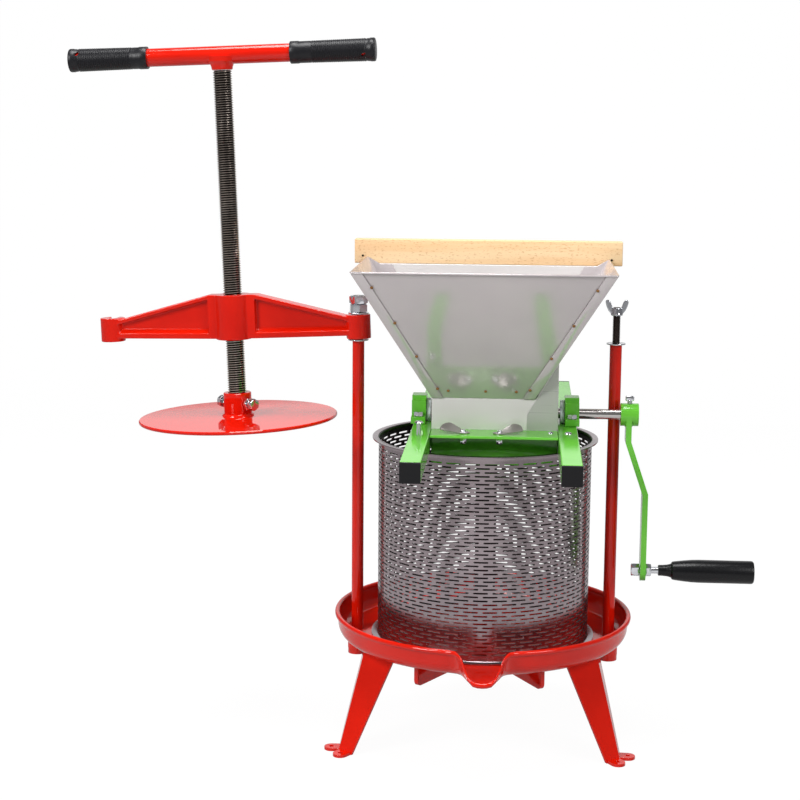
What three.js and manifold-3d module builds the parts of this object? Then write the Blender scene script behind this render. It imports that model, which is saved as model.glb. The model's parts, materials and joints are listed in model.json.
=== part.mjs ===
// A basket press for cider with an apple scratter standing on its basket.
// Millimetres, +Z up, +X to the right and +Y to the rear when the spout faces the viewer.
// The origin ends up under the middle of the whole machine, on the ground.

import * as THREE from 'three';
import { mergeVertices } from 'three/addons/utils/BufferGeometryUtils.js';
import Module from 'manifold-3d';

const wasm = await Module();
wasm.setup();

const rad = Math.PI / 180;
const gap = 0.3; // between pieces that touch
const slack = 1; // how far a cutting tool runs past what it cuts

// Ground, legs and tray
const postSpacing = 300;
const trayFloorZ = 121; // top of the tray's floor
const traySheet = 2;
const trayMargin = 26; // from the posts to the rim
const trayRadius = postSpacing / 2 + trayMargin; // over the rolled rim
const trayRimRoll = 3;
const rimRollArc = [-50, 230]; // the roll closes back to the wall's outside
const trayCorner = 15;
const trayLean = 3; // how much further in the wall stands at its foot
const trayDepth = 29; // floor to the top of the rim
const spoutBeyond = 31; // past the rim
const spoutReach = trayRadius + spoutBeyond;
const spoutMouthHalf = 32; // at the tray's rim
const spoutTipHalf = 12;
const spoutTipLip = 6; // lip over the floor at the tip
const spoutTurn = 1.4; // the spout isn't pressed quite square to the posts
const spoutDrop = 0.5; // how far the floor sinks to the tip
const spoutRoot = 40; // the channel is drawn from this far inside the rim
const spoutWiden = 8; // it is this much wider each side there
const spoutTall = 20; // the channel's sides before the lip is cut
const spoutFlat = 0.8; // 1 for a round bottom, less for a flatter one
const legSheet = 3.5;
const legTopInset = 21;
const legSpread = 12; // the feet stand outside the rim
const legTopRadius = trayRadius - legTopInset; // ridge of the leg under the tray
const legFootRadius = trayRadius + legSpread;
const legTopWidth = 44; // one face of the folded leg
const legFootWidth = 19;
const legFold = 27; // each face is turned this far from square to the radius
const legFlangeLength = 49;
const legFlangeIn = legTopRadius - legFlangeLength; // inner end of the flange under the tray
const legFlangeHalf = 27;
const legFootTrim = 1; // the ear starts this far in from the foot's corners
const earLength = 17;
const earHole = 2.6;
const studRadius = 4; // weld studs under the tray
const studInset = 29; // weld studs from the leg's ridge
const studAt = legTopRadius - studInset;
const studLength = 13;
const studNutAcross = 13;
const studNutHeight = 6.5;

// Star of flat bars and the posts
const barThick = 5;
const barDepth = 27;
const starOverhang = 11;
const starInset = 33;
const starCross = postSpacing / 2 + starOverhang; // end of the bar under the posts
const starArm = trayRadius - starInset; // ends of the other two
const socketRadius = 11;
const postRadius = 7;
const postShoulder = 349; // above the tray's floor
const postThread = 6; // radius of the threaded ends
const postThreadRight = 4.5; // radius of the wing nut's thread
const postNutAcross = 19;
const postNutHeight = 9.5;
const washerThick = 1.6;
const washerRadius = 12;
const wingWasherRadius = 11;
const studTopLeft = 55; // thread above the shoulder
const studTopRight = 50;
const wingNutLift = 34; // underside of the wing nut above the shoulder
const wingNutFoot = 6.8; // radius
const wingNutNeck = 5.6; // radius
const wingNutHeight = 9;
const wingThick = 2.6;
const wingOutline = [[4, 2], [7, 3], [14, 12], [14.5, 17], [11.5, 18], [4, 8]]; // out from the axis, up

// Beam, screw and plate. The beam's frame has its origin in the middle of the post boss,
// +X along the beam and +Z up the screw.
const beamSwing = 5.6; // parked this far to the rear of -X
const beamDroop = 2.3; // free end hangs lower, by the play on the post
const screwReach = postSpacing / 2;
const farReach = postSpacing;
const beamBoreClear = 1.4;
const bossHeight = 28;
const bossRadius = 14.4;
const nutBossRadius = 21.5;
const nutBossLow = -13;
const nutBossTop = 40;
const armThick = 22; // flanges of the beam, front to back
const armWeb = 9;
const armBorder = 5.5;
const armPad = 28.5; // the beam's top is level this far to each side of the screw
const armLow = -12;
const armEndTop = 11;
const armMidTop = 40;
const armEndRise = 2; // the lower edge rises to each end boss
const armRoot = 0.6; // an arm starts this share of the middle boss's radius from its axis
const armTip = 0.6; // and ends this share of the end boss's radius from its own
const farSlot = 10.5; // width of the far boss's slot, which opens to the rear
const screwRadius = 11;
const screwLow = -99;
const handleAxis = 317.5; // above the middle of the post boss
const handleTurn = 3.8;
const handleLength = 314;
const handleTube = 10.5;
const gripLengths = { left: 93, right: 99 };
const gripOuter = 13.5;
const gripInner = 11.8;
const gripOverhang = 23; // grip beyond the tube's end
const gripCollar = 0.8; // the inner end's collar stands this much proud
const gripCollarLength = 9;
const gripCollarSlope = 2;
const gripEnd = 6; // length of the outer end's flange
const handleWeldLow = 7; // weld under the tube's lowest line
const handleWeldWide = 2; // beyond the screw at its foot
const handleWeldTall = 11;
const handleSocketLow = 30; // socket for the screw, from the tube's axis
const handleSocketTop = 8;
const plateRadius = 118;
const plateThick = 4;
const plateTop = -105; // of the press plate, in the beam's frame
const collarRadius = 16.5;
const collarHeight = 28;
const collarBoltZ = 15; // above the plate
const collarBoltAcross = 13;
const collarBoltReach = 29; // head's outer face from the screw's axis
const collarBoltHead = 6;
const collarBoltRadius = 4;
const collarWeldWide = 5;
const collarWeldTall = 6;
const grooveDepth = 3; // groove for the bolts' tips
const grooveSlack = 1.5;
const collarBoltTurn = -34; // the two bolts' line from the beam's

// Basket
const basketRadius = 125;
const basketWall = 1.5;
const basketHeight = 238;
const basketFlange = 8;
const slotsRound = 18; // openings in a row, staggered like bricks from row to row
const slotRows = 10;
const slotHeight = 10;
const slotWeb = 10; // metal between neighbours in a row
const basketBand = 13; // plain band at each end

// Scratter. Its frame has its origin at the underside of the rails.
const scratterShift = 12; // it stands a little to the right of the basket's axis
const railSize = 22;
const railWall = 2;
const railFront = -278;
const railLength = 576;
const railSpacing = 165;
const capThick = 4;
const capPlug = 12;
const shaftY = -20;
const shaftZ = 32;
const shaftRadius = 6;
const chamberHalf = 60.2; // front wall to shaft axis
const boxWall = 2;
const boxLow = -8;
const boxMouth = 57; // top edge where the hopper joins
const angleReach = 44;
const angleThick = 3;
const angleDrop = 40;
const hopperSheet = 1.5;
const hopperFlange = 1.2;
const hopperFrontFlange = 13;
const hopperRearFlange = 25;
const hopperEar = 11; // foot of the pointed ear that laps the board at each rear corner
const boxUnderHopper = 1.2; // clearance below the hopper's slope
const hopperCentre = -13.2;
const hopperHalf = 145;
const hopperFront = -149;
const hopperRear = 66;
const hopperTop = 204;
const throatInset = 38; // the throat's right edge from the middle of the right rail
const throatRight = railSpacing / 2 - throatInset;
const boardLength = 320;
const boardThick = 18;
const boardHeight = 29;
const boardLow = 196;
const blockWidth = 16.5;
const blockInset = 2.7; // inner face of each bearing block from the middle of its rail
const blockInner = railSpacing / 2 - blockInset;
const blockBaseHalf = 34;
const blockBaseHeight = 8;
const blockMidHalf = 18;
const blockMidTop = 47;
const blockTopHalf = 11;
const blockTopZ = 52;
const bushRadius = 12.5;
const bushCollarRadius = 15.5;
const bushCollarLength = 4.9;
const bushCollarIn = blockInner - gap - bushCollarLength;
const boltAcross = 10;
const boltHead = 5;
const boltShank = 3;
const boltY = 26; // block bolts from the shaft
const drumRadius = 43;
const toothHeight = 9;
const toothRows = 6;
const toothCount = 6;
const toothThick = 3;
const drumInset = 16.5; // its left end from the middle of the left rail
const drumShort = 3.5; // its right end from the throat's right edge
const drumX = [drumInset - railSpacing / 2, throatRight - drumShort];
const toothRoot = 4; // sunk into the drum
const toothShape = [[0, 0.1], [0.35, 1], [0.6, 1], [0.95, 0.1]]; // shares of its pitch and height
const scraperReach = 3; // from the teeth's path
const scraperHeight = 24;
const tongueInset = [50.5, 75.5]; // screws of the two curled tongues from their rail's middle
const tongueX = [tongueInset[0] - railSpacing / 2, railSpacing / 2 - tongueInset[1]];
const tongueWidth = 24;
const tongueSheet = 1.5;
const tongueCurl = [[-7, 0], [5, 0], [10, 2], [15, 6], [20, 7], [24, 5], [26, 1.5]]; // along, up
const tongueScrewAcross = 8;
const tongueScrewHead = 3.5;
const shaftEndLeft = 2; // the shaft ends this far inside the left block
const shaftEndRight = 3; // and inside the hub's face

// Crank. Its hub turns close in front of the right post.
const hubInset = 5.6; // from the post's axis
const hubWidth = 20.4;
const hubIn = postSpacing / 2 - hubInset;
const hubOut = hubIn + hubWidth;
const hubRadius = 13.2;
const armBar = 6.4; // thickness of the crank arm
const armWidth = 25;
const armJog = 21; // the arm's lower part stands this much further out
const armUpperX = hubIn + 9.4;
const armLowerX = armUpperX + armJog;
const armBendHigh = 32; // below the shaft
const armBendLow = 93;
const crankThrow = 184;
const armMitre = 1.5; // the outer side of each bend lies this much higher
const gripBoltRadius = 4;
const gripBoltAcross = 13;
const gripBoltHead = 10;
const gripNutThick = 6.5;
const gripClear = 18.2; // from the arm to the grip's neck
const crankGripLength = 111;
const crankGripIn = armLowerX + gripClear;
const crankGripOut = crankGripIn + crankGripLength;
const crankGripNeck = 6.3;
const crankGripStep = 16; // length of the neck
const crankGripStart = 10.5;
const crankGripBody = 13.4;
const crankGripFlare = 1.8; // the neck widens by this to its step
const crankGripTaper = 28; // length over which the body widens
const crankGripSolid = 20; // beyond the bolt's end
const thumbRadius = 3;
const thumbTop = 22; // above the shaft's axis
const thumbWidth = 10;
const thumbHeight = 6;
const thumbThick = 3;

const paint = (color, roughness) => new THREE.MeshStandardMaterial({ color, roughness, metalness: 0.1 });
const metal = (color, roughness) => new THREE.MeshStandardMaterial({ color, roughness, metalness: 1 });
const red = paint(0xd3200f, 0.25);
const green = paint(0x4fb52c, 0.3);
const stainless = metal(0xb9b4b2, 0.3);
const basketSteel = metal(0x9a9391, 0.35);
const zinc = metal(0xc8c9cc, 0.25);
const darkSteel = metal(0x3a3633, 0.4);
const blackGrip = new THREE.MeshStandardMaterial({ color: 0x22242a, roughness: 0.6 });
const nylon = new THREE.MeshStandardMaterial({ color: 0xd9dee0, roughness: 0.5 });
const beech = new THREE.MeshStandardMaterial({ color: 0xf2c68f, roughness: 0.6 });

// A closed solid from any closed geometry, turned right side out.
function solid(geometry) {
  const bare = new THREE.BufferGeometry();
  bare.setAttribute('position', geometry.getAttribute('position'));
  bare.setIndex(geometry.getIndex());
  const merged = mergeVertices(bare, 1e-4);
  const p = merged.getAttribute('position');
  const index = merged.getIndex().array;
  const corner = [new THREE.Vector3(), new THREE.Vector3(), new THREE.Vector3()];
  const triangles = [];
  let volume = 0;
  for (let i = 0; i < index.length; i += 3) {
    const [a, b, c] = [index[i], index[i + 1], index[i + 2]];
    if (a === b || b === c || c === a) continue;
    [a, b, c].forEach((v, k) => corner[k].fromBufferAttribute(p, v));
    volume += corner[0].dot(corner[1].clone().cross(corner[2]));
    triangles.push(a, b, c);
  }
  if (volume < 0) triangles.reverse();
  return new wasm.Manifold(new wasm.Mesh({
    numProp: 3,
    vertProperties: Float32Array.from(p.array),
    triVerts: Uint32Array.from(triangles),
  }));
}

function skin(manifold) {
  const mesh = manifold.getMesh();
  const geometry = new THREE.BufferGeometry();
  geometry.setAttribute('position', new THREE.BufferAttribute(Float32Array.from(mesh.vertProperties), 3));
  geometry.setIndex(new THREE.BufferAttribute(Uint32Array.from(mesh.triVerts), 1));
  const flat = geometry.toNonIndexed();
  flat.computeVertexNormals();
  return flat;
}

const join = (...pieces) => skin(pieces.map(solid).reduce((whole, piece) => whole.add(piece)));
const cut = (body, ...tools) => skin(tools.map(solid).reduce((rest, tool) => rest.subtract(tool), solid(body)));
const overlap = (one, other) => skin(solid(one).intersect(solid(other)));

function block(x0, x1, y0, y1, z0, z1) {
  const box = new THREE.BoxGeometry(x1 - x0, y1 - y0, z1 - z0);
  return box.translate((x0 + x1) / 2, (y0 + y1) / 2, (z0 + z1) / 2);
}

// A cylinder along Z.
function rod(radius, z0, z1, sides = 24) {
  const bar = new THREE.CylinderGeometry(radius, radius, z1 - z0, sides);
  return bar.rotateX(90 * rad).translate(0, 0, (z0 + z1) / 2);
}

// A hole's polygon goes round the circle, so that a shaft of the radius less the gap clears it.
const hole = (radius, z0, z1, sides = 24) => rod(radius / Math.cos(Math.PI / sides), z0, z1, sides);

// The same along X, around the line y, z.
const rodX = (radius, x0, x1, y, z, sides) => rod(radius, x0, x1, sides).rotateY(90 * rad).translate(0, y, z);
const holeX = (radius, x0, x1, y, z, sides) => hole(radius, x0, x1, sides).rotateY(90 * rad).translate(0, y, z);

// A hexagonal bar along Z, given its size across flats.
const hex = (across, z0, z1) => rod(across / 2 / Math.cos(Math.PI / 6), z0, z1, 6);
const hexX = (across, x0, x1, y, z) => hex(across, x0, x1).rotateY(90 * rad).translate(0, y, z);

const washer = (outer, inner, z0, z1) => cut(rod(outer, z0, z1, 32), hole(inner, z0 - slack, z1 + slack));
const nut = (across, inner, z0, z1) => cut(hex(across, z0, z1), hole(inner, z0 - slack, z1 + slack));

// A closed profile of [radius, height] turned around Z.
function turned(profile, sides) {
  const points = profile.map(([r, z]) => new THREE.Vector2(r, z));
  return skin(solid(new THREE.LatheGeometry(points, sides).rotateX(90 * rad)));
}

// An outline of [x, y] made into a plate from z0 to z1.
function plate(outline, z0, z1) {
  const shape = new THREE.Shape(outline.map(([x, y]) => new THREE.Vector2(x, y)));
  return new THREE.ExtrudeGeometry(shape, { depth: z1 - z0, bevelEnabled: false }).translate(0, 0, z0);
}

// An outline of [y, z] run along X, and one of [x, z] run along Y.
const barX = (outline, x0, x1) => plate(outline, x0, x1).applyMatrix4(
  new THREE.Matrix4().makeBasis(new THREE.Vector3(0, 1, 0), new THREE.Vector3(0, 0, 1), new THREE.Vector3(1, 0, 0)));
const barY = (outline, y0, y1) => plate(outline, -y1, -y0).rotateX(90 * rad);

// Rings of points, each a convex outline with as many points, joined into one closed solid.
function loft(rings) {
  const count = rings[0].length;
  const points = rings.flat();
  const index = [];
  for (let ring = 0; ring + 1 < rings.length; ring += 1) {
    for (let i = 0; i < count; i += 1) {
      const a = ring * count + i;
      const b = ring * count + (i + 1) % count;
      index.push(a, b, b + count, a, b + count, a + count);
    }
  }
  const last = points.length - count;
  for (let i = 1; i + 1 < count; i += 1) {
    index.push(0, i + 1, i, last, last + i, last + i + 1);
  }
  const geometry = new THREE.BufferGeometry();
  geometry.setAttribute('position', new THREE.Float32BufferAttribute(points.flat(), 3));
  geometry.setIndex(index);
  return geometry;
}

const arc = (cx, cy, radius, from, to, steps) => Array.from({ length: steps + 1 }, (_, i) => {
  const angle = (from + (to - from) * i / steps) * rad;
  return [cx + radius * Math.cos(angle), cy + radius * Math.sin(angle)];
});

function add(group, name, geometry, material) {
  const mesh = new THREE.Mesh(geometry, material);
  mesh.name = name;
  group.add(mesh);
  return mesh;
}

// Tray

const trayUnder = trayFloorZ - traySheet;
const trayWallOut = trayRadius - trayRimRoll + traySheet / 2;
const trayTop = trayFloorZ + trayDepth;

// Profile of the pan from the axis, out under the floor, up the wall, over the rim and back.
function panProfile() {
  const rollZ = trayTop - trayRimRoll;
  const cornerX = trayWallOut - trayLean - trayCorner;
  return [
    [0, trayUnder],
    ...arc(cornerX, trayUnder + trayCorner, trayCorner, -90, 0, 3),
    ...arc(trayRadius - trayRimRoll, rollZ, trayRimRoll, ...rimRollArc, 5),
    ...arc(cornerX, trayUnder + trayCorner, trayCorner - traySheet, 0, -90, 3),
    [0, trayFloorZ],
  ];
}

// A U-shaped section of the spout across Y, from lip to lip.
function spoutSection(y, half, bottom, top) {
  const u = arc(0, 0, 1, 180, 360, 12);
  return u.map(([c, s]) => [half * c, y, top - (top - bottom) * Math.abs(s) ** spoutFlat]);
}

function tray() {
  const start = trayRadius - spoutRoot;
  const rootHalf = spoutMouthHalf + spoutWiden;
  const over = trayTop + spoutTall / 2;
  const tip = trayFloorZ - spoutDrop;
  const tipTop = trayFloorZ + spoutTall;
  const outer = loft([
    spoutSection(-start, rootHalf + traySheet, trayUnder, over),
    spoutSection(-spoutReach, spoutTipHalf + traySheet, tip - traySheet, tipTop),
  ]);
  const inner = loft([
    spoutSection(-start + slack, rootHalf, trayFloorZ, over + slack),
    spoutSection(-spoutReach - slack, spoutTipHalf, tip, tipTop + slack),
  ]);
  const lip = barX([
    [-trayRadius + traySheet, trayTop], [-spoutReach - slack, trayFloorZ + spoutTipLip],
    [-spoutReach - slack, over + spoutTall], [0, over + spoutTall], [0, trayTop],
  ], -trayRadius, trayRadius);
  const cavity = turned([
    [0, trayFloorZ],
    ...arc(trayWallOut - trayLean - trayCorner, trayUnder + trayCorner, trayCorner - traySheet, -90, 0, 3),
    [trayWallOut - traySheet, over], [trayWallOut - traySheet, over + spoutTall], [0, over + spoutTall],
  ], 48);
  const channel = cut(outer, inner, lip, cavity).rotateZ(spoutTurn * rad);
  const mouth = block(-trayRadius, trayRadius, -spoutReach, -trayRadius + spoutRoot, trayFloorZ, over + spoutTall);
  const mouthCut = overlap(inner, mouth).rotateZ(spoutTurn * rad);
  const pan = cut(turned(panProfile(), 48), mouthCut);
  const postHole = side => hole(postThread + gap, trayUnder - slack, trayFloorZ + slack)
    .translate(side * postSpacing / 2, 0, 0);
  const weldStud = heading => rod(studRadius, trayUnder - studLength, trayUnder + slack, 16)
    .translate(studAt * Math.cos(heading * rad), studAt * Math.sin(heading * rad), 0);
  return join(cut(join(pan, channel), postHole(-1), postHole(1)), ...legHeadings.map(weldStud));
}

// Legs. Each is drawn with +X outward and turned to its heading.

const legHeadings = [210, 330, 90];
const legTopZ = trayUnder - gap;

// A point on one of the leg's two faces: s along the face from the ridge, o outward from it.
function legPoint(radius, side, s, o) {
  const c = Math.cos(legFold * rad);
  const h = Math.sin(legFold * rad);
  return [radius - h * s + c * o, side * (c * s + h * o)];
}

function legFace(side) {
  const ring = (radius, width, z) => [[0, 0], [width, 0], [width, -legSheet], [0, -legSheet]]
    .map(([s, o]) => [...legPoint(radius, side, s, o), z]);
  return loft([ring(legFootRadius, legFootWidth, 0), ring(legTopRadius, legTopWidth, legTopZ)]);
}

function legEar(side) {
  const rim = legFootWidth / 2 - legFootTrim;
  const round = arc(0, earLength - rim, rim, 180, 0, 8).map(([s, o]) => [s + legFootWidth / 2, o]);
  const outline = [[legFootTrim, -legSheet], ...round, [legFootWidth - legFootTrim, -legSheet]];
  const ear = plate(outline.map(([s, o]) => legPoint(legFootRadius, side, s, o)), 0, legSheet);
  const [x, y] = legPoint(legFootRadius, side, legFootWidth / 2, earLength - rim);
  return cut(ear, hole(earHole, -slack, legSheet + slack, 12).translate(x, y, 0));
}

function leg() {
  const [tipX, tipY] = legPoint(legTopRadius, 1, legTopWidth, 0);
  const flange = plate([
    [legFlangeIn, -legFlangeHalf], [tipX, -tipY], [legTopRadius - slack, 0], [tipX, tipY],
    [legFlangeIn, legFlangeHalf],
  ], legTopZ - legSheet, legTopZ);
  const body = join(flange, legFace(1), legFace(-1), legEar(1), legEar(-1));
  return cut(body, hole(studRadius + gap, legTopZ - legSheet - slack, legTopZ + slack, 16).translate(studAt, 0, 0));
}

// Star and posts

const starTop = trayUnder - gap;
const starLow = starTop - barDepth;
const postX = postSpacing / 2;
const shoulderZ = trayFloorZ + postShoulder;

function star() {
  const bars = [[0, starCross], [60, starArm], [120, starArm]].map(([heading, reach]) =>
    block(-reach, reach, -barThick / 2, barThick / 2, starLow, starTop).rotateZ(heading * rad));
  const sockets = [-1, 1].map(side => rod(socketRadius, starLow, starTop).translate(side * postX, 0, 0));
  const bores = [-1, 1].map(side => hole(postThread + gap, starLow - slack, starTop + slack)
    .translate(side * postX, 0, 0));
  return cut(join(...bars, ...sockets), ...bores);
}

function post(threadTop, length) {
  return join(
    rod(postThread, starLow, trayFloorZ + gap + slack),
    rod(postRadius, trayFloorZ + gap, shoulderZ, 32),
    rod(threadTop, shoulderZ - slack, shoulderZ + length),
  );
}

function wingNut(z0) {
  const top = z0 + wingNutHeight;
  const body = turned([
    [0, z0], [wingNutFoot, z0], [wingNutFoot, z0 + washerThick], [wingNutNeck, top], [0, top],
  ], 20);
  const wing = side => barY(wingOutline.map(([x, z]) => [side * x, z0 + z]), -wingThick / 2, wingThick / 2);
  return cut(join(body, wing(1), wing(-1)), hole(postThreadRight + gap, z0 - slack, top + slack, 16));
}

// Beam in its own frame

// The boss lifts off level by the droop, so its corners need this much more room.
const bossTilt = bossRadius * Math.sin(beamDroop * rad);
const beamOriginZ = shoulderZ + washerThick + 2 * gap + bossTilt + bossHeight / 2;

// One arm: side is 1 toward the far end; endX is where it stops inside the end boss.
function beamArm(side, endX) {
  const root = screwReach + side * nutBossRadius * armRoot;
  const pad = screwReach + side * armPad;
  const outline = [[root, armLow], [endX, armLow + armEndRise], [endX, armEndTop], [pad, armMidTop], [root, armMidTop]];
  const body = barY(outline, -armThick / 2, armThick / 2);
  const slope = (armEndTop - armMidTop) / (endX - pad);
  const edge = x => armMidTop + slope * (x - pad) - armBorder;
  const tip = endX - side * armBorder;
  const low = armLow + armBorder;
  const rise = low + armEndRise / 2;
  const pocket = [[pad, low], [tip, rise], [tip, Math.max(edge(tip), rise + slack)], [pad, edge(pad)]];
  const depth = (armThick - armWeb) / 2;
  return cut(body,
    barY(pocket, armThick / 2 - depth, armThick / 2 + slack),
    barY(pocket, -armThick / 2 - slack, -armThick / 2 + depth));
}

function beam() {
  const boss = bossHeight / 2;
  const whole = join(
    rod(bossRadius, -boss, boss, 32),
    rod(nutBossRadius, nutBossLow, nutBossTop, 36).translate(screwReach, 0, 0),
    rod(bossRadius, -boss, boss, 32).translate(farReach, 0, 0),
    beamArm(-1, bossRadius * armTip),
    beamArm(1, farReach - bossRadius * armTip),
  );
  return cut(whole,
    hole(postThread + beamBoreClear, -boss - slack, boss + slack),
    hole(screwRadius + gap, nutBossLow - slack, nutBossTop + slack, 32).translate(screwReach, 0, 0),
    hole(farSlot / 2, -boss - slack, boss + slack).translate(farReach, 0, 0),
    block(farReach - farSlot / 2, farReach + farSlot / 2, -bossRadius - slack, 0, -boss - slack, boss + slack));
}

// Screw, handle and plate, around the screw's axis

function handleBar() {
  const tube = rodX(handleTube, -handleLength / 2, handleLength / 2, 0, handleAxis, 32);
  const weldLow = handleAxis - handleTube - handleWeldLow;
  const weldTop = weldLow + handleWeldTall;
  const weld = turned([
    [0, weldLow], [screwRadius + handleWeldWide, weldLow], [screwRadius + 2 * handleWeldWide, weldTop], [0, weldTop],
  ], 24);
  const socket = rod(screwRadius + gap, handleAxis - handleSocketLow, handleAxis - handleSocketTop, 32);
  return cut(join(tube, weld), socket);
}

// A grip slides over the end of the tube; its outer end is closed.
function handleGrip(gripLength) {
  const tubeIn = gripLength - gripOverhang;
  const collar = gripInner + gripCollar;
  const profile = [
    [handleTube + gap, 0], [collar, 0], [collar, gripCollarLength], [gripInner, gripCollarLength + gripCollarSlope],
    [gripOuter - gripCollar, gripLength - gripEnd - gripCollarSlope], [gripOuter, gripLength - gripEnd],
    [gripOuter, gripLength - slack], [gripOuter - slack, gripLength], [0, gripLength], [0, tubeIn + gap],
    [handleTube + gap, tubeIn + gap], [handleTube + gap, 0],
  ];
  return turned(profile, 28).rotateY(90 * rad);
}

function pressPlate() {
  const disc = rod(plateRadius, plateTop - plateThick, plateTop, 72);
  const collar = rod(collarRadius, plateTop - slack, plateTop + collarHeight, 32);
  const weldWide = collarRadius + collarWeldWide;
  const weld = turned([[0, plateTop - slack], [weldWide, plateTop - slack], [weldWide, plateTop + slack],
    [collarRadius - slack, plateTop + collarWeldTall], [0, plateTop + collarWeldTall]], 32);
  const seat = hole(screwRadius + gap, screwLow - gap, plateTop + collarHeight + slack, 32);
  const boltHoles = rodX(collarBoltRadius + gap, -collarRadius - slack, collarRadius + slack, 0,
    plateTop + collarBoltZ, 16).rotateZ(collarBoltTurn * rad);
  return cut(join(disc, collar, weld), seat, boltHoles);
}

// Each collar bolt's tip stands in the groove round the end of the screw.
const grooveRadius = screwRadius - grooveDepth;

function pressScrew() {
  const grooveLow = plateTop + collarBoltZ - collarBoltRadius - grooveSlack;
  const grooveTop = plateTop + collarBoltZ + collarBoltRadius + grooveSlack;
  const top = handleAxis - handleTube - gap;
  return turned([
    [0, screwLow], [screwRadius - slack, screwLow], [screwRadius, screwLow + slack],
    [screwRadius, grooveLow], [grooveRadius, grooveLow], [grooveRadius, grooveTop], [screwRadius, grooveTop],
    [screwRadius, top], [0, top],
  ], 32);
}

function collarBolt(side) {
  const z = plateTop + collarBoltZ;
  const shank = rodX(collarBoltRadius, grooveRadius + gap, collarBoltReach - slack, 0, z, 16);
  const head = hexX(collarBoltAcross, collarBoltReach - collarBoltHead, collarBoltReach, 0, z);
  return join(shank, head).rotateZ((side > 0 ? 0 : 180) * rad).rotateZ(collarBoltTurn * rad);
}

// Basket

function basket() {
  const low = trayFloorZ + gap;
  const top = trayFloorZ + basketHeight;
  const flangeOut = basketRadius + basketFlange;
  const inside = basketRadius - basketWall;
  const shell = turned([
    [inside, low], [flangeOut, low], [flangeOut, low + basketWall], [basketRadius, low + basketWall],
    [basketRadius, top - basketWall], [flangeOut, top - basketWall], [flangeOut, top], [inside, top], [inside, low],
  ], 72);
  const half = Math.PI * basketRadius / slotsRound - slotWeb / 2;
  const pitch = (basketHeight - 2 * basketBand - slotHeight) / (slotRows - 1);
  const slots = [];
  for (let row = 0; row < slotRows; row += 1) {
    const z = trayFloorZ + basketBand + pitch * row;
    for (let i = 0; i < slotsRound; i += 1) {
      slots.push(block(inside / 2, basketRadius + slack, -half, half, z, z + slotHeight)
        .rotateZ((i + row % 2 / 2) * 360 / slotsRound * rad));
    }
  }
  return cut(shell, ...slots);
}

// Scratter frame

const railZ = trayFloorZ + basketHeight + gap;
const railX = railSpacing / 2;
const railRear = railFront + railLength;
const railInner = railX - railSize / 2;

function rail() {
  const half = railSize / 2;
  const hollow = half - railWall;
  return cut(block(-half, half, railFront, railRear, 0, railSize),
    block(-hollow, hollow, railFront - slack, railRear + slack, railWall, railSize - railWall));
}

function railCap() {
  const half = railSize / 2;
  const plug = half - railWall - gap;
  return join(block(-half, half, -capThick, 0, 0, railSize),
    block(-plug, plug, -slack, capPlug, half - plug, half + plug));
}

// An angle between the rails: a flange on top and a leg down against the mill box.
function crossAngle(side) {
  const inner = chamberHalf + gap;
  const x = railInner - gap;
  const y = [inner, inner + angleThick, inner + angleReach].map(v => shaftY + side * v);
  return barX([[y[0], railSize], [y[0], railSize - angleDrop], [y[1], railSize - angleDrop],
    [y[1], railSize - angleThick], [y[2], railSize - angleThick], [y[2], railSize]], -x, x);
}

// Hopper and mill box. Its outer outline goes from the box's mouth to the rim.

const boxHalf = railInner - gap;
const mouthLow = boxMouth + gap;
const hopperRise = hopperTop - mouthLow;
const panelTop = boardLow - gap; // the rear panel ends under the board
const mouth = { left: -boxHalf, right: throatRight, front: shaftY - chamberHalf, rear: shaftY + chamberHalf };
const rim = {
  left: hopperCentre - hopperHalf, right: hopperCentre + hopperHalf, front: hopperFront, rear: hopperRear,
};
const at = (edge, z) => mouth[edge] + (rim[edge] - mouth[edge]) * (z - mouthLow) / hopperRise;

// A sheet between two heights, whose level section at z is the box that corners(z) gives.
function sheet(z0, z1, corners) {
  const ring = z => {
    const [x0, x1, y0, y1] = corners(z);
    return [[x0, y0, z], [x1, y0, z], [x1, y1, z], [x0, y1, z]];
  };
  return loft([ring(z0), ring(z1)]);
}

function hopperEnd(side) {
  const edge = side > 0 ? 'right' : 'left';
  const span = (z, from, to) => {
    const a = at(edge, z) - side * from;
    const b = at(edge, z) - side * to;
    return [Math.min(a, b), Math.max(a, b)];
  };
  const foldY = z => at('front', z) - gap - hopperFlange;
  const wall = sheet(mouthLow, hopperTop, z => [...span(z, 0, hopperSheet), foldY(z), at('rear', z) - gap]);
  const front = sheet(mouthLow, hopperTop, z => [
    ...span(z, 0, hopperFrontFlange), foldY(z), foldY(z) + hopperFlange]);
  const rearY = z => [at('rear', z) - gap - hopperFlange, at('rear', z) - gap];
  const rear = sheet(mouthLow, panelTop, z => [...span(z, 0, hopperRearFlange), ...rearY(z)]);
  const ear = sheet(panelTop, hopperTop, z => [...span(z, 0, z > panelTop ? hopperSheet : hopperEar), ...rearY(z)]);
  return join(wall, front, rear, ear);
}

const hopperFrontPanel = () => sheet(mouthLow, hopperTop, z => [
  at('left', z) + hopperSheet + gap, at('right', z) - hopperSheet - gap,
  at('front', z), at('front', z) + hopperSheet]);
const hopperRearPanel = () => sheet(mouthLow, panelTop, z => [
  at('left', z), at('right', z), at('rear', z), at('rear', z) + hopperSheet]);

function hopperBoard() {
  const y = at('rear', hopperTop) + gap;
  const x = hopperCentre;
  return block(x - boardLength / 2, x + boardLength / 2, y, y + boardThick, boardLow, boardLow + boardHeight);
}

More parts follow.
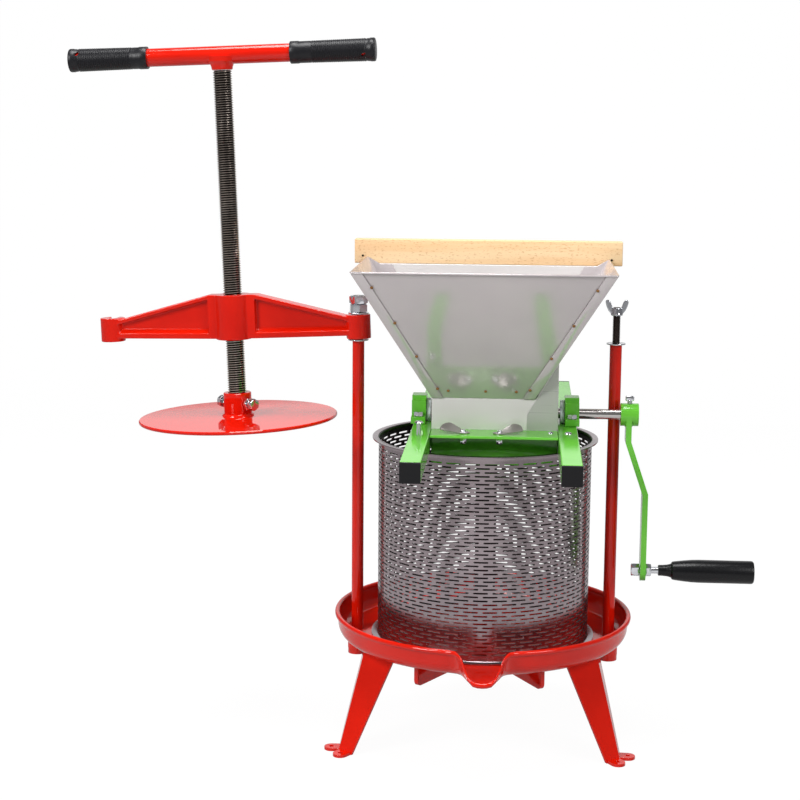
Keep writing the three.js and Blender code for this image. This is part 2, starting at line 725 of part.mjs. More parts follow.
// The box's right wall rises until the hopper's side closes over it.
function millBox() {
  const slope = hopperRise / (rim.right - mouth.right);
  const top = mouthLow + (boxHalf - mouth.right - boxUnderHopper) * slope;
  const face = [[-boxHalf, boxLow], [boxHalf, boxLow], [boxHalf, top], [mouth.right + boxUnderHopper, boxMouth],
    [-boxHalf, boxMouth]];
  const body = barY(face, mouth.front, mouth.rear);
  const inside = block(-boxHalf + boxWall, boxHalf - boxWall, mouth.front + boxWall, mouth.rear - boxWall,
    boxLow - slack, hopperTop);
  return cut(body, inside, holeX(shaftRadius + gap, -boxHalf - slack, boxHalf + slack, shaftY, shaftZ));
}

// Bearings

function bearingBlock() {
  const base = railSize + gap;
  const outline = [
    [-blockBaseHalf, base], [-blockBaseHalf, base + blockBaseHeight], [-blockMidHalf, base + blockBaseHeight],
    [-blockMidHalf, blockMidTop], [-blockTopHalf, blockMidTop], [-blockTopHalf, blockTopZ],
    [blockTopHalf, blockTopZ], [blockTopHalf, blockMidTop], [blockMidHalf, blockMidTop],
    [blockMidHalf, base + blockBaseHeight], [blockBaseHalf, base + blockBaseHeight], [blockBaseHalf, base],
  ].map(([y, z]) => [y + shaftY, z]);
  const x1 = blockInner + blockWidth;
  const arch = join(holeX(bushRadius + gap, blockInner - slack, x1 + slack, shaftY, shaftZ),
    block(blockInner - slack, x1 + slack, shaftY - bushRadius - gap, shaftY + bushRadius + gap,
      base - slack, shaftZ));
  const boltHole = side => hole(boltShank + gap, base - slack, base + blockBaseHeight + slack, 12)
    .translate(blockInner + blockWidth / 2, shaftY + side * boltY, 0);
  return cut(barX(outline, blockInner, x1), arch, boltHole(1), boltHole(-1));
}

function bush() {
  const foot = railSize + gap;
  const x1 = blockInner + blockWidth;
  const round = join(rodX(bushRadius, blockInner - gap - slack, x1, shaftY, shaftZ),
    rodX(bushCollarRadius, bushCollarIn, blockInner - gap, shaftY, shaftZ));
  const below = block(0, x1 + slack, shaftY - 2 * bushCollarRadius, shaftY + 2 * bushCollarRadius, -foot, foot);
  return cut(round, below, holeX(shaftRadius + gap, bushCollarIn - slack, x1 + slack, shaftY, shaftZ));
}

function blockBolt(side) {
  const seat = railSize + gap + blockBaseHeight;
  const head = hex(boltAcross, seat + gap, seat + gap + boltHead);
  return join(head, rod(boltShank, railSize + gap, seat + slack, 12))
    .translate(blockInner + blockWidth / 2, shaftY + side * boltY, 0);
}

// Curled stainless tongues on the front angle, mirrored about their screws.
function tongue(side, x) {
  const z = railSize + gap;
  const y = shaftY - chamberHalf - gap - angleReach / 2;
  const back = tongueCurl.map(([s, h]) => [s, h + tongueSheet]).reverse();
  const outline = [...tongueCurl, ...back].map(([s, h]) => [x + side * s, z + h]);
  const leaf = barY(outline, y - tongueWidth / 2, y + tongueWidth / 2);
  const top = z + tongueSheet;
  const head = hex(tongueScrewAcross, top - gap, top + tongueScrewHead).translate(x, y, 0);
  return join(leaf, head);
}

function scraper() {
  const y0 = shaftY + drumRadius + toothHeight + scraperReach;
  const y1 = shaftY + chamberHalf - boxWall - gap;
  const half = boxHalf - boxWall - gap;
  return block(-half, half, y0, y1, shaftZ - scraperHeight / 2, shaftZ + scraperHeight / 2);
}

// Crank, shaft and drum

function drum() {
  const [left, right] = drumX;
  const roller = rodX(drumRadius, left, right, 0, 0, 40);
  const pitch = (right - left) / toothCount;
  const saw = [[left, drumRadius - toothRoot]];
  for (let i = 0; i < toothCount; i += 1) {
    saw.push(...toothShape.map(([along, up]) => [left + pitch * (i + along), drumRadius + toothHeight * up]));
  }
  saw.push([right, drumRadius - toothRoot]);
  const rows = Array.from({ length: toothRows }, (_, i) => barY(saw, -toothThick / 2, toothThick / 2)
    .rotateX(i * 360 / toothRows * rad));
  const bore = holeX(shaftRadius + gap, left - slack, right + slack, 0, 0);
  return cut(join(roller, ...rows), bore).translate(0, shaftY, shaftZ);
}

const shaft = () =>
  rodX(shaftRadius, shaftEndLeft - blockInner - blockWidth, hubOut - shaftEndRight, shaftY, shaftZ);

function crankArm() {
  const z = -armBendHigh;
  const w = armBar / 2;
  const end = -crankThrow - armWidth / 2;
  const bar = barY([
    [armUpperX - w, 0], [armUpperX - w, z], [armLowerX - w, -armBendLow], [armLowerX - w, end],
    [armLowerX + w, end], [armLowerX + w, armMitre - armBendLow], [armUpperX + w, z + armMitre], [armUpperX + w, 0],
  ], -armWidth / 2, armWidth / 2);
  const beyond = hubOut + armJog;
  const side = join(block(hubIn, beyond, -armWidth / 2, armWidth / 2, -crankThrow, 0),
    rodX(armWidth / 2, hubIn, beyond, 0, -crankThrow, 28));
  const hub = rodX(hubRadius, hubIn, hubOut, 0, 0, 32);
  return cut(join(overlap(bar, side), hub),
    holeX(shaftRadius + gap, hubIn - slack, hubOut + slack, 0, 0),
    holeX(gripBoltRadius + gap, armLowerX - armBar, armLowerX + armBar, 0, -crankThrow, 16),
    hole(thumbRadius + gap, 0, hubRadius + slack, 16).translate((hubIn + hubOut) / 2, 0, 0),
  ).translate(0, shaftY, shaftZ);
}

function hubScrew() {
  const low = shaftRadius + gap;
  const neck = rod(thumbRadius, low, thumbTop - thumbHeight + slack, 16);
  const wide = thumbWidth / 2;
  const head = block(-wide, wide, -thumbThick / 2, thumbThick / 2, thumbTop - thumbHeight, thumbTop);
  return join(neck, head).translate((hubIn + hubOut) / 2, shaftY, shaftZ);
}

const armFace = side => armLowerX + side * armBar / 2;

function gripBolt() {
  const head = armFace(-1) - gap;
  const shank = rodX(gripBoltRadius, head - slack, crankGripOut - crankGripSolid, 0, 0, 16);
  return join(hexX(gripBoltAcross, head - gripBoltHead, head, 0, 0), shank).translate(0, shaftY, shaftZ - crankThrow);
}

function gripNut() {
  const x0 = armFace(1) + gap;
  return cut(hexX(gripBoltAcross, x0, x0 + gripNutThick, 0, 0),
    holeX(gripBoltRadius + gap, x0 - slack, x0 + gripNutThick + slack, 0, 0, 16))
    .translate(0, shaftY, shaftZ - crankThrow);
}

function crankGrip() {
  const bore = gripBoltRadius + gap;
  const step = crankGripIn + crankGripStep;
  const deep = crankGripOut - crankGripSolid + gap;
  return turned([
    [bore, crankGripIn], [crankGripNeck, crankGripIn], [crankGripNeck + crankGripFlare, step - slack],
    [crankGripStart, step], [crankGripBody, step + crankGripTaper], [crankGripBody, crankGripOut - slack],
    [crankGripBody - slack, crankGripOut],
    [0, crankGripOut], [0, deep], [bore, deep], [bore, crankGripIn],
  ], 28).rotateY(90 * rad).translate(0, shaftY, shaftZ - crankThrow);
}

// Assembly

const machine = new THREE.Group();

function buildBase() {
  add(machine, 'tray', tray(), red);
  add(machine, 'base_star', star(), red);
  ['left', 'right', 'rear'].forEach((name, i) => {
    const heading = legHeadings[i] * rad;
    add(machine, `leg_${name}`, leg(), red).rotation.z = heading;
    const bottom = legTopZ - legSheet - gap - studNutHeight;
    const nutMesh = add(machine, `leg_nut_${name}`,
      nut(studNutAcross, studRadius + gap, bottom, bottom + studNutHeight).translate(studAt, 0, 0), zinc);
    nutMesh.rotation.z = heading;
  });
  add(machine, 'post_left', post(postThread, studTopLeft), red).position.x = -postX;
  add(machine, 'post_right', post(postThreadRight, studTopRight), red).position.x = postX;
}

function buildPostTops() {
  const left = (name, geometry) => { add(machine, name, geometry, zinc).position.x = -postX; };
  const bore = postThread + gap;
  const low = shoulderZ + gap;
  left('washer_low_left', washer(washerRadius, bore, low, low + washerThick));
  const overBoss = beamOriginZ + bossHeight / 2 + bossTilt + gap;
  left('washer_top_left', washer(washerRadius, bore, overBoss, overBoss + washerThick));
  const first = overBoss + washerThick + gap;
  left('lock_nut_lower', nut(postNutAcross, bore, first, first + postNutHeight));
  const second = first + postNutHeight + gap;
  left('lock_nut_upper', nut(postNutAcross, bore, second, second + postNutHeight));
  add(machine, 'washer_right', washer(wingWasherRadius, postThreadRight + gap, low, low + washerThick), zinc)
    .position.x = postX;
  add(machine, 'wing_nut', wingNut(shoulderZ + wingNutLift), zinc).position.x = postX;
}

function buildPress() {
  const beamGroup = new THREE.Group();
  beamGroup.position.set(-postX, 0, beamOriginZ);
  beamGroup.rotation.set(0, beamDroop * rad, (180 - beamSwing) * rad, 'ZYX');
  machine.add(beamGroup);
  add(beamGroup, 'press_beam', beam(), red);
  const screwGroup = new THREE.Group();
  screwGroup.position.x = screwReach;
  beamGroup.add(screwGroup);
  add(screwGroup, 'press_screw', pressScrew(), darkSteel);
  add(screwGroup, 'press_plate', pressPlate(), red);
  add(screwGroup, 'plate_bolt_left', collarBolt(1), zinc);
  add(screwGroup, 'plate_bolt_right', collarBolt(-1), zinc);
  const handle = new THREE.Group();
  handle.rotation.z = handleTurn * rad;
  screwGroup.add(handle);
  add(handle, 'handle_bar', handleBar(), red);
  for (const [name, turn] of [['left', 0], ['right', 180]]) {
    const length = gripLengths[name];
    const grip = handleGrip(length).translate(handleLength / 2 + gripOverhang - length, 0, handleAxis);
    add(handle, `handle_grip_${name}`, grip, blackGrip).rotation.z = turn * rad;
  }
}

function buildScratter() {
  const scratter = new THREE.Group();
  scratter.position.set(scratterShift, 0, railZ);
  machine.add(scratter);
  for (const [name, side] of [['left', -1], ['right', 1]]) {
    add(scratter, `rail_${name}`, rail(), green).position.x = side * railX;
    const frontCap = add(scratter, `rail_cap_${name}_front`, railCap(), blackGrip);
    frontCap.position.set(side * railX, railFront - gap, 0);
    const rearCap = add(scratter, `rail_cap_${name}_rear`, railCap(), blackGrip);
    rearCap.position.set(side * railX, railRear + gap, 0);
    rearCap.rotation.z = Math.PI;
    // The left bearing is the right one turned half round about the middle of the shaft.
    const turn = side > 0 ? geometry => geometry
      : geometry => geometry.translate(0, -shaftY, 0).rotateZ(Math.PI).translate(0, shaftY, 0);
    add(scratter, `bearing_block_${name}`, turn(bearingBlock()), green);
    add(scratter, `bearing_bush_${name}`, turn(bush()), nylon);
    add(scratter, `block_bolt_${name}_front`, turn(blockBolt(-side)), zinc);
    add(scratter, `block_bolt_${name}_rear`, turn(blockBolt(side)), zinc);
    add(scratter, `hopper_${name}`, hopperEnd(side), stainless);
  }
  add(scratter, 'cross_front', crossAngle(-1), green);
  add(scratter, 'cross_rear', crossAngle(1), green);
  add(scratter, 'mill_box', millBox(), stainless);
  add(scratter, 'hopper_front', hopperFrontPanel(), stainless);
  add(scratter, 'hopper_rear', hopperRearPanel(), stainless);
  add(scratter, 'hopper_board', hopperBoard(), beech);
  add(scratter, 'deflector_left', tongue(-1, tongueX[0]), stainless);
  add(scratter, 'deflector_right', tongue(1, tongueX[1]), stainless);
  add(scratter, 'scraper', scraper(), stainless);
  add(scratter, 'mill_drum', drum(), nylon);
  add(scratter, 'drum_shaft', shaft(), zinc);
  add(scratter, 'crank_arm', crankArm(), green);
  add(scratter, 'hub_screw', hubScrew(), zinc);
  add(scratter, 'grip_bolt', gripBolt(), zinc);
  add(scratter, 'grip_nut', gripNut(), zinc);
  add(scratter, 'crank_grip', crankGrip(), blackGrip);
}

buildBase();
buildPostTops();
buildPress();
add(machine, 'basket', basket(), basketSteel);
buildScratter();

// The whole is moved so that the origin lies under the middle of its bounding box.
machine.updateMatrixWorld(true);
const bounds = new THREE.Box3().setFromObject(machine, true);
machine.position.set(-(bounds.min.x + bounds.max.x) / 2, -(bounds.min.y + bounds.max.y) / 2, -bounds.min.z);
machine.updateMatrixWorld(true);

export default machine;
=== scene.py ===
# %% [markdown]
# # A basket press with its apple mill, piece by piece
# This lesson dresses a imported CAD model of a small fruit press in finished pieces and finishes.
# The CAD model is the frame: it says where everything is and how it moves. Each piece made here
# stands for one CAD node, sits exactly where that node sits, and rides on the same body.

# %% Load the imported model
import json
import math
import bpy
from mathutils import Matrix, Vector


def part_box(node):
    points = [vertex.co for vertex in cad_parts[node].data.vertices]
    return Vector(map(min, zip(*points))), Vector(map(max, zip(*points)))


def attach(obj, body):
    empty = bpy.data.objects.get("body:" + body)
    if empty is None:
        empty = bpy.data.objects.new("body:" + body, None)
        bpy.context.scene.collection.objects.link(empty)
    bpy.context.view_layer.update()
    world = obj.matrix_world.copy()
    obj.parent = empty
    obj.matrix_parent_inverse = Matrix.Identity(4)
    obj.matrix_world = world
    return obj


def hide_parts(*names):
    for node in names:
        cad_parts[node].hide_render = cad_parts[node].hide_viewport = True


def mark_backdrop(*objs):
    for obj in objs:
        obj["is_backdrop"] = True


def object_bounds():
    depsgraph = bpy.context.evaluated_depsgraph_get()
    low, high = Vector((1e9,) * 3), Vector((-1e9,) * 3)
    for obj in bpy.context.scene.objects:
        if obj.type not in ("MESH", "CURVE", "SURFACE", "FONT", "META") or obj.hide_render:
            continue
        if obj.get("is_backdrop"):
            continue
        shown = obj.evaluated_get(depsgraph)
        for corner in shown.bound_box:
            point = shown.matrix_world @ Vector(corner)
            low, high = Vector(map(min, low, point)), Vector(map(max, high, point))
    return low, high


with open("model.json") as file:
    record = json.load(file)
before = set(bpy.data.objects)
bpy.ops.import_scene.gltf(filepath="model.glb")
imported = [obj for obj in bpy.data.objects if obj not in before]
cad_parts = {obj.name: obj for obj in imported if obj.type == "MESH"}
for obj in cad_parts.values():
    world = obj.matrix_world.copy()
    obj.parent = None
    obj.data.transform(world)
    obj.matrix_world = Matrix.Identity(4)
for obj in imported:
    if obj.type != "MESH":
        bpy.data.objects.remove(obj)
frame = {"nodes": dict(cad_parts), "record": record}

cad_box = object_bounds()
body_of = {node: body for body, nodes in frame["record"]["behaviour"]["bodies"].items() for node in nodes}
slot_of = {entry["node"]: entry["material_slot"] for entry in frame["record"]["subparts"]}

# %% [markdown]
# ## Where each group of pieces stands
# The machine has four places to work from: the foot of the basket's axis, the boss of the beam on
# the left post, the screw in the middle of the beam, and the underside of the mill's rails. A piece
# is drawn in millimetres round one of these, as at a bench, and then moved into place in its mesh.
# The beam is swung to the rear and hangs a little at its free end, so its place is turned as well.

# %% Places of the groups
MM = 0.001
to_metres = Matrix.Scale(MM, 4)
post_reach, post_top = 150, 0.48678
rails_low = 0.3593

def turn(axis, degrees):
    return Matrix.Rotation(math.radians(degrees), 4, axis)

def shift(x, y, z):
    return Matrix.Translation((x, y, z))

def new_object(name, data):
    thing = bpy.data.objects.new(name, data)
    bpy.context.scene.collection.objects.link(thing)
    return thing

basket_low, basket_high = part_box("basket")
axis = (basket_low + basket_high) / 2
tray_place = shift(axis.x, axis.y, 0) @ to_metres
left_post = tray_place @ shift(-post_reach, 0, 0)
right_post = tray_place @ shift(post_reach, 0, 0)
beam_place = (shift(axis.x - post_reach * MM, axis.y, post_top) @ turn("Z", 174.4) @ turn("Y", 2.3)
              @ to_metres)
screw_place = beam_place @ shift(post_reach, 0, 0)
handle_place = screw_place @ turn("Z", 3.8)
mill_place = shift(axis.x + 0.012, axis.y, rails_low) @ to_metres
mill_mm = Matrix.Translation(mill_place.translation / MM)
print("basket axis", [round(v, 4) for v in axis])

# %% [markdown]
# ## The camera
# The photograph looks down a little from the front with a long lens. The place and the turn below
# come from matching the rims, posts and rails with the picture.

# %% Camera
camera_data = bpy.data.cameras.new("camera")
camera = new_object("camera", camera_data)
azimuth, tilt, roll = 3.99, 9.17, 0.44
camera.matrix_world = (shift(0.12833, -2.02950, 0.72696) @ turn("Z", azimuth) @ turn("X", 90 - tilt)
                       @ turn("Z", roll))
sensor_width, focal_pixels, picture_width = 36, 1743.09, 800
camera_data.lens = sensor_width * focal_pixels / picture_width
camera_data.clip_end = 60
bpy.context.scene.camera = camera
print("lens", round(camera_data.lens, 2), "mm")

# %% [markdown]
# ## Maths for materials
# A material that varies over a piece needs sums on sockets. The small class below holds one output
# and the tree it lives in, so that `mask * 0.3 + 0.1` adds the Math nodes by itself. Colours are
# blended with Mix nodes, because a Math node would turn them grey.

# %% A socket that can be added and multiplied
class Field:
    def __init__(self, tree, socket):
        self.tree, self.socket = tree, socket

    def maths(self, operation, other):
        node = self.tree.nodes.new("ShaderNodeMath")
        node.operation = operation
        feed(self.tree, self, node.inputs[0])
        feed(self.tree, other, node.inputs[1])
        return Field(self.tree, node.outputs[0])

    def __add__(self, other):
        return self.maths("ADD", other)

    def __mul__(self, other):
        return self.maths("MULTIPLY", other)

def feed(tree, value, place):
    """Links a field into a socket, or sets a plain value on it."""
    if isinstance(value, Field):
        tree.links.new(value.socket, place)
    else:
        place.default_value = value

print("fields can be added and multiplied")

# %% [markdown]
# ## One recipe book for all finishes
# `Finish` makes a material with a Principled shader. Its `node` method adds any other node: settings
# first, then inputs. Values that are the same all over are set on the shader itself. Every finish is
# kept under its name in `finishes`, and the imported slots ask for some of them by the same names.

# %% Finish
def colour(red, green, blue):
    """A colour from 0 to 255 as the eye sees it, in Blender's own linear light."""
    shares = [level / 255 for level in (red, green, blue)]
    linear = [s / 12.92 if s < 0.0404 else ((s + 0.055) / 1.055) ** 2.4 for s in shares]
    return (*linear, 1.0)

finishes = {}

class Finish:
    def __init__(self, name, base, metallic=0.0, roughness=0.4, **settings):
        self.material = bpy.data.materials.new(name)
        self.material.use_nodes = True
        self.tree = self.material.node_tree
        self.shader = self.tree.nodes["Principled BSDF"]
        self.set(**{"Base Color": base, "Metallic": metallic, "Roughness": roughness}, **settings)
        finishes[name] = self.material

    def set(self, **inputs):
        for name, value in inputs.items():
            feed(self.tree, value, self.shader.inputs[name.replace("_", " ")])

    def node(self, kind, settings=None, output=0, **inputs):
        """An input is named with _ for a space, or as i and its number."""
        node = self.tree.nodes.new("ShaderNode" + kind)
        for name, value in (settings or {}).items():
            setattr(node, name, value)
        for name, value in inputs.items():
            key = int(name[1:]) if name[0] == "i" and name[1:].isdigit() else name.replace("_", " ")
            feed(self.tree, value, node.inputs[key])
        return Field(self.tree, node.outputs[output])

    def noise(self, scale, detail, stretch=(1, 1, 1)):
        here = self.node("TexCoord", output="Object")
        return self.node("TexNoise", Vector=self.node("Mapping", Vector=here, Scale=stretch),
                         Scale=scale, Detail=detail)

    def spread(self, value, to_low=0.0, to_high=1.0, low=0.3, high=0.7):
        """Spreads the middle of a noise, from low to high, over a range of values."""
        return self.node("MapRange", Value=value, From_Min=low, From_Max=high, To_Min=to_low, To_Max=to_high)

    def blend(self, factor, one, other):
        return self.node("Mix", {"data_type": "RGBA"}, output=2, i0=factor, i6=one, i7=other)

    def bump(self, height, distance):
        self.set(Normal=self.node("Bump", Height=height, Distance=distance))

print("a mid grey is", round(colour(128, 128, 128)[0], 3), "in linear light")

# %% [markdown]
# ## Red and green paint
# The press is dipped in a glossy orange red and the mill's frame in a fresh green. Paint like this
# is smooth but never flat: it has a slight orange-peel ripple, and a cast part under it keeps some
# of the sand's texture. A fine ripple gives that, as bump and in the roughness, and a coarser one
# deepens the colour here and there. The press plate is the smoothest piece and mirrors its bolts.

# %% Paints
def paint(name, base, deep, ripple, grain, roughness):
    finish = Finish(name, base, roughness=roughness, IOR=1.43)
    cloud = finish.noise(18.0, 3.0)
    fine = finish.noise(grain, 2.0)
    finish.set(Base_Color=finish.blend(finish.spread(cloud, low=0.35), base, deep))
    finish.set(Roughness=finish.spread(fine, roughness * 0.7, roughness * 1.5))
    finish.bump(fine, ripple)

paint("red_paint", colour(226, 29, 7), colour(216, 24, 5), 0.00003, 420.0, 0.08)
paint("mirror_red", colour(222, 28, 9), colour(214, 24, 7), 0.00001, 160.0, 0.03)
paint("red_casting", colour(220, 27, 6), colour(209, 22, 4), 0.00006, 260.0, 0.07)
paint("green_paint", colour(110, 202, 62), colour(103, 193, 56), 0.00003, 420.0, 0.1)
paint("green_casting", colour(108, 200, 60), colour(100, 190, 54), 0.0001, 300.0, 0.16)
print("paints", sorted(finishes))

# %% [markdown]
# ## Steels
# The hopper is stainless sheet with faint rolling lines. It mirrors the rails and the tongues before
# it only weakly, because most of its surface scatters light, so it is less metallic than the basket,
# which is the same metal, duller and a little mauve. Nuts and washers are bright zinc, and the screw
# is dark oily steel with crests that wear has polished; the crests and the upward flanks also carry
# a painted highlight.

# %% Steels
def sheet_metal(name, base, dark, roughness, lines, ripple, metallic, stretch):
    """lines is how much the rolling lines change the roughness; stretch draws them out."""
    finish = Finish(name, base, metallic=metallic, roughness=roughness)
    rolled = finish.noise(1.0, 3.0, stretch)
    cloud = finish.noise(14.0, 2.0)
    finish.set(Base_Color=finish.blend(finish.spread(cloud), base, dark))
    finish.set(Roughness=finish.spread(rolled, roughness - lines, roughness + lines))
    finish.bump(cloud, ripple)

sheet, grainy, wound = (6, 900, 900), (300, 300, 300), (300, 300, 60)
for name, base, dark, *values in (
        ("sheet_steel", (204, 196, 197), (197, 189, 191), 0.15, 0.015, 0.00002, 0.27, sheet),
        # the next steel is a brighter copy of the sheet steel: painted light for the box and the hopper's
        # rear
        ("box_steel", (232, 229, 227), (225, 221, 219), 0.22, 0.015, 0.00006, 0.25, sheet),
        ("lap_steel", (190, 190, 185), (182, 182, 178), 0.3, 0.03, 0.0001, 0.35, sheet),
        ("basket_steel", (168, 156, 160), (150, 138, 142), 0.22, 0.06, 0.00012, 0.97, sheet),
        # the next steel is darker for the basket's inside: painted shade
        ("inner_steel", (64, 60, 58), (50, 47, 45), 0.4, 0.07, 0.00012, 1.0, sheet),
        ("leaf_steel", (190, 186, 184), (176, 172, 170), 0.36, 0.05, 0.00008, 0.9, sheet),
        ("bright_steel", (212, 208, 205), (196, 192, 190), 0.14, 0.04, 0.00005, 0.9, sheet),
        ("zinc", (230, 231, 236), (212, 214, 220), 0.11, 0.05, 0.00008, 0.95, grainy),
        ("dark_steel", (32, 26, 24), (18, 14, 13), 0.3, 0.08, 0.0001, 1.0, wound),
        ("worn_steel", (244, 230, 218), (196, 180, 168), 0.18, 0.08, 0.0001, 1.0, wound),
        ("stud_steel", (92, 82, 78), (60, 52, 49), 0.24, 0.08, 0.0001, 1.0, wound)):
    sheet_metal(name, colour(*base), colour(*dark), *values)
print(len(finishes), "finishes so far")

# %% [markdown]
# ## Rubber, nylon and beech
# Grips and caps are near-black plastic with a fine matt skin. The bearing bushes are milky nylon,
# which lets a little light through. The board is pale beech: long soft streaks along it, with the
# short dark flecks that make beech easy to tell from other woods.

# %% Plastics and wood
def matt_plastic(name, base, roughness, grain):
    finish = Finish(name, base, roughness=roughness, IOR=1.38)
    fine = finish.noise(grain, 3.0)
    finish.set(Roughness=finish.spread(fine, roughness - 0.05, roughness + 0.08))
    finish.bump(fine, 0.00006)

matt_plastic("black_grip", colour(23, 23, 27), 0.36, 900.0)
matt_plastic("crank_black", colour(14, 14, 17), 0.3, 900.0)
matt_plastic("black_cap", colour(15, 15, 18), 0.5, 700.0)
matt_plastic("rivet_brown", colour(140, 98, 54), 0.4, 600.0)

nylon = Finish("nylon", colour(222, 230, 232), roughness=0.42,
               **{"Subsurface Weight": 0.25, "Subsurface Radius": (0.004, 0.004, 0.004)})
milk = nylon.noise(120.0, 3.0)
nylon.set(Base_Color=nylon.blend(nylon.spread(milk), colour(224, 232, 234), colour(206, 216, 220)))
nylon.bump(milk, 0.00005)

beech = Finish("beech", colour(238, 198, 150), roughness=0.5)
streak = beech.noise(1.0, 4.0, (5, 60, 110))
fleck = beech.spread(beech.noise(1.0, 1.0, (260, 600, 800)), low=0.6, high=0.68)
warm = beech.blend(beech.spread(streak, low=0.35, high=0.68), colour(247, 217, 172), colour(240, 199, 148))
beech.set(Base_Color=beech.blend(fleck * 0.5, warm, colour(206, 150, 98)))
beech.set(Roughness=beech.spread(streak, 0.46, 0.6))
beech.bump(fleck * -1.0 + streak * 0.5, 0.00015)
print(len(finishes), "finishes; slots without one:", sorted(set(slot_of.values()) - set(finishes)))

# %% [markdown]
# ## Hands: the few moves that every piece uses
# An operator acts on everything that is selected, so each move begins by letting go of everything.
# `choose` picks faces or edges by where they are, and then opens edit mode on them.

# %% Selecting
def let_go():
    if bpy.context.object and bpy.context.object.mode != "OBJECT":
        bpy.ops.object.mode_set(mode="OBJECT")
    bpy.ops.object.select_all(action="DESELECT")

def take(piece):
    let_go()
    piece.select_set(True)
    bpy.context.view_layer.objects.active = piece
    return piece

def choose(piece, kind, wanted):
    """Opens edit mode with those vertices, edges or faces chosen for which wanted is true. It is asked
    with the middle and the normal, or for an edge with the middle and the direction."""
    take(piece)
    mesh = piece.data
    parts = {"VERT": mesh.vertices, "EDGE": mesh.edges, "FACE": mesh.polygons}
    for group in parts.values():
        group.foreach_set("select", [False] * len(group))
    for part in parts[kind]:
        if kind == "VERT":
            part.select = wanted(part.co, part.normal)
        elif kind == "EDGE":
            one, other = (mesh.vertices[i].co for i in part.vertices)
            part.select = wanted((one + other) / 2, (other - one).normalized())
        else:
            part.select = wanted(part.center, part.normal)
    bpy.context.tool_settings.mesh_select_mode = (kind == "VERT", kind == "EDGE", kind == "FACE")
    bpy.ops.object.mode_set(mode="EDIT")

def choose_all(piece):
    take(piece)
    bpy.ops.object.mode_set(mode="EDIT")
    bpy.ops.mesh.select_all(action="SELECT")

def choose_open_ends():
    bpy.ops.mesh.select_all(action="DESELECT")
    bpy.ops.mesh.select_mode(type="EDGE")
    bpy.ops.mesh.select_non_manifold()

def done(piece):
    bpy.ops.object.mode_set(mode="OBJECT")
    return piece

def outward(piece):
    """Turns all faces of the piece outward and leaves edit mode."""
    bpy.ops.mesh.select_all(action="SELECT")
    bpy.ops.mesh.normals_make_consistent(inside=False)
    return done(piece)

def merge(piece, distance):
    choose_all(piece)
    bpy.ops.mesh.remove_doubles(threshold=distance)
    return piece

def fill(piece, wanted):
    """Closes the ring of edges for which wanted is true with a face."""
    choose(piece, "EDGE", wanted)
    bpy.ops.mesh.edge_face_add()
    return done(piece)

def trim_away(piece, wanted):
    choose(piece, "VERT", wanted)
    bpy.ops.mesh.delete(type="VERT")
    return done(piece)

print("moves for selecting are ready")

# %% [markdown]
# Solid starts: a bar, a rod and a turned piece. The turned piece is drawn as a lathe hand would cut
# it: a ring is extruded from radius to radius up the profile, and the two ends are closed, or joined
# to each other where the piece is a ring.

# %% Bars, rods and turned pieces
def named(name):
    piece = bpy.context.object
    piece.name = piece.data.name = name
    return piece

def begin(name, add, **settings):
    """Begins a piece with one of Blender's own shapes; add is the operator that adds it."""
    let_go()
    add(**settings)
    return named(name)

def bar(name, x0, x1, y0, y1, z0, z1):
    middle = ((x0 + x1) / 2, (y0 + y1) / 2, (z0 + z1) / 2)
    piece = begin(name, bpy.ops.mesh.primitive_cube_add, size=1, location=middle,
                  scale=(x1 - x0, y1 - y0, z1 - z0))
    bpy.ops.object.transform_apply(location=True, rotation=True, scale=True)
    return piece

def extrude(step):
    bpy.ops.mesh.extrude_region_move(TRANSFORM_OT_translate={"value": step})

def pull_ring(profile):
    """Extrudes the chosen ring, which stands at the first [radius, height], through the others."""
    for (radius, height), (next_radius, next_height) in zip(profile, profile[1:]):
        extrude((0, 0, next_height - height))
        if abs(next_radius - radius) > 1e-6:
            grow = next_radius / radius
            bpy.ops.transform.resize(value=(grow, grow, 1), center_override=(0, 0, next_height))

def first_ring(name, start, sides):
    piece = begin(name, bpy.ops.mesh.primitive_circle_add, vertices=sides, radius=start[0],
                  fill_type="NOTHING")
    bpy.ops.object.mode_set(mode="EDIT")
    bpy.ops.transform.translate(value=(0, 0, start[1]))
    return piece

def turned(name, profile, sides=64, ring=False):
    """profile is [radius, height] from end to end; a ring's last point is joined to its first."""
    piece = first_ring(name, profile[0], sides)
    pull_ring(profile)
    choose_open_ends()
    if ring:
        bpy.ops.mesh.bridge_edge_loops()
    else:
        bpy.ops.mesh.edge_face_add()
    return outward(piece)

def rod(name, radius, z0, z1, sides=48):
    return turned(name, [[radius, z0], [radius, z1]], sides)

print("bars and rods are ready")

# %% [markdown]
# Flat stock with any outline is drawn by dragging one point round the outline, closing it and
# pulling it to its thickness.

# %% Outlines pulled to a thickness
def drag_point(name, points):
    """Drags one vertex from point to point and leaves the open line, in edit mode."""
    piece = begin(name, bpy.ops.mesh.primitive_plane_add, size=0.01, location=(0, 0, 0))
    bpy.context.tool_settings.mesh_select_mode = (True, False, False)
    bpy.ops.object.mode_set(mode="EDIT")
    bpy.ops.mesh.merge(type="CENTER")
    bpy.ops.transform.translate(value=points[0])
    for here, there in zip(points, points[1:]):
        extrude(Vector(there) - Vector(here))
    bpy.ops.mesh.select_all(action="SELECT")
    return piece

def cut_out(name, outline, depth):
    """outline is [x, y] points; the plate goes from z=0 up to depth."""
    piece = drag_point(name, [(x, y, 0) for x, y in outline])
    bpy.ops.mesh.edge_face_add()
    extrude((0, 0, depth))
    return outward(piece)

def stand_up(piece, matrix):
    piece.data.transform(matrix)
    return piece

ALONG_X = Matrix(((0, 0, 1, 0), (1, 0, 0, 0), (0, 1, 0, 0), (0, 0, 0, 1)))
ALONG_Y = Matrix(((1, 0, 0, 0), (0, 0, -1, 0), (0, 1, 0, 0), (0, 0, 0, 1)))

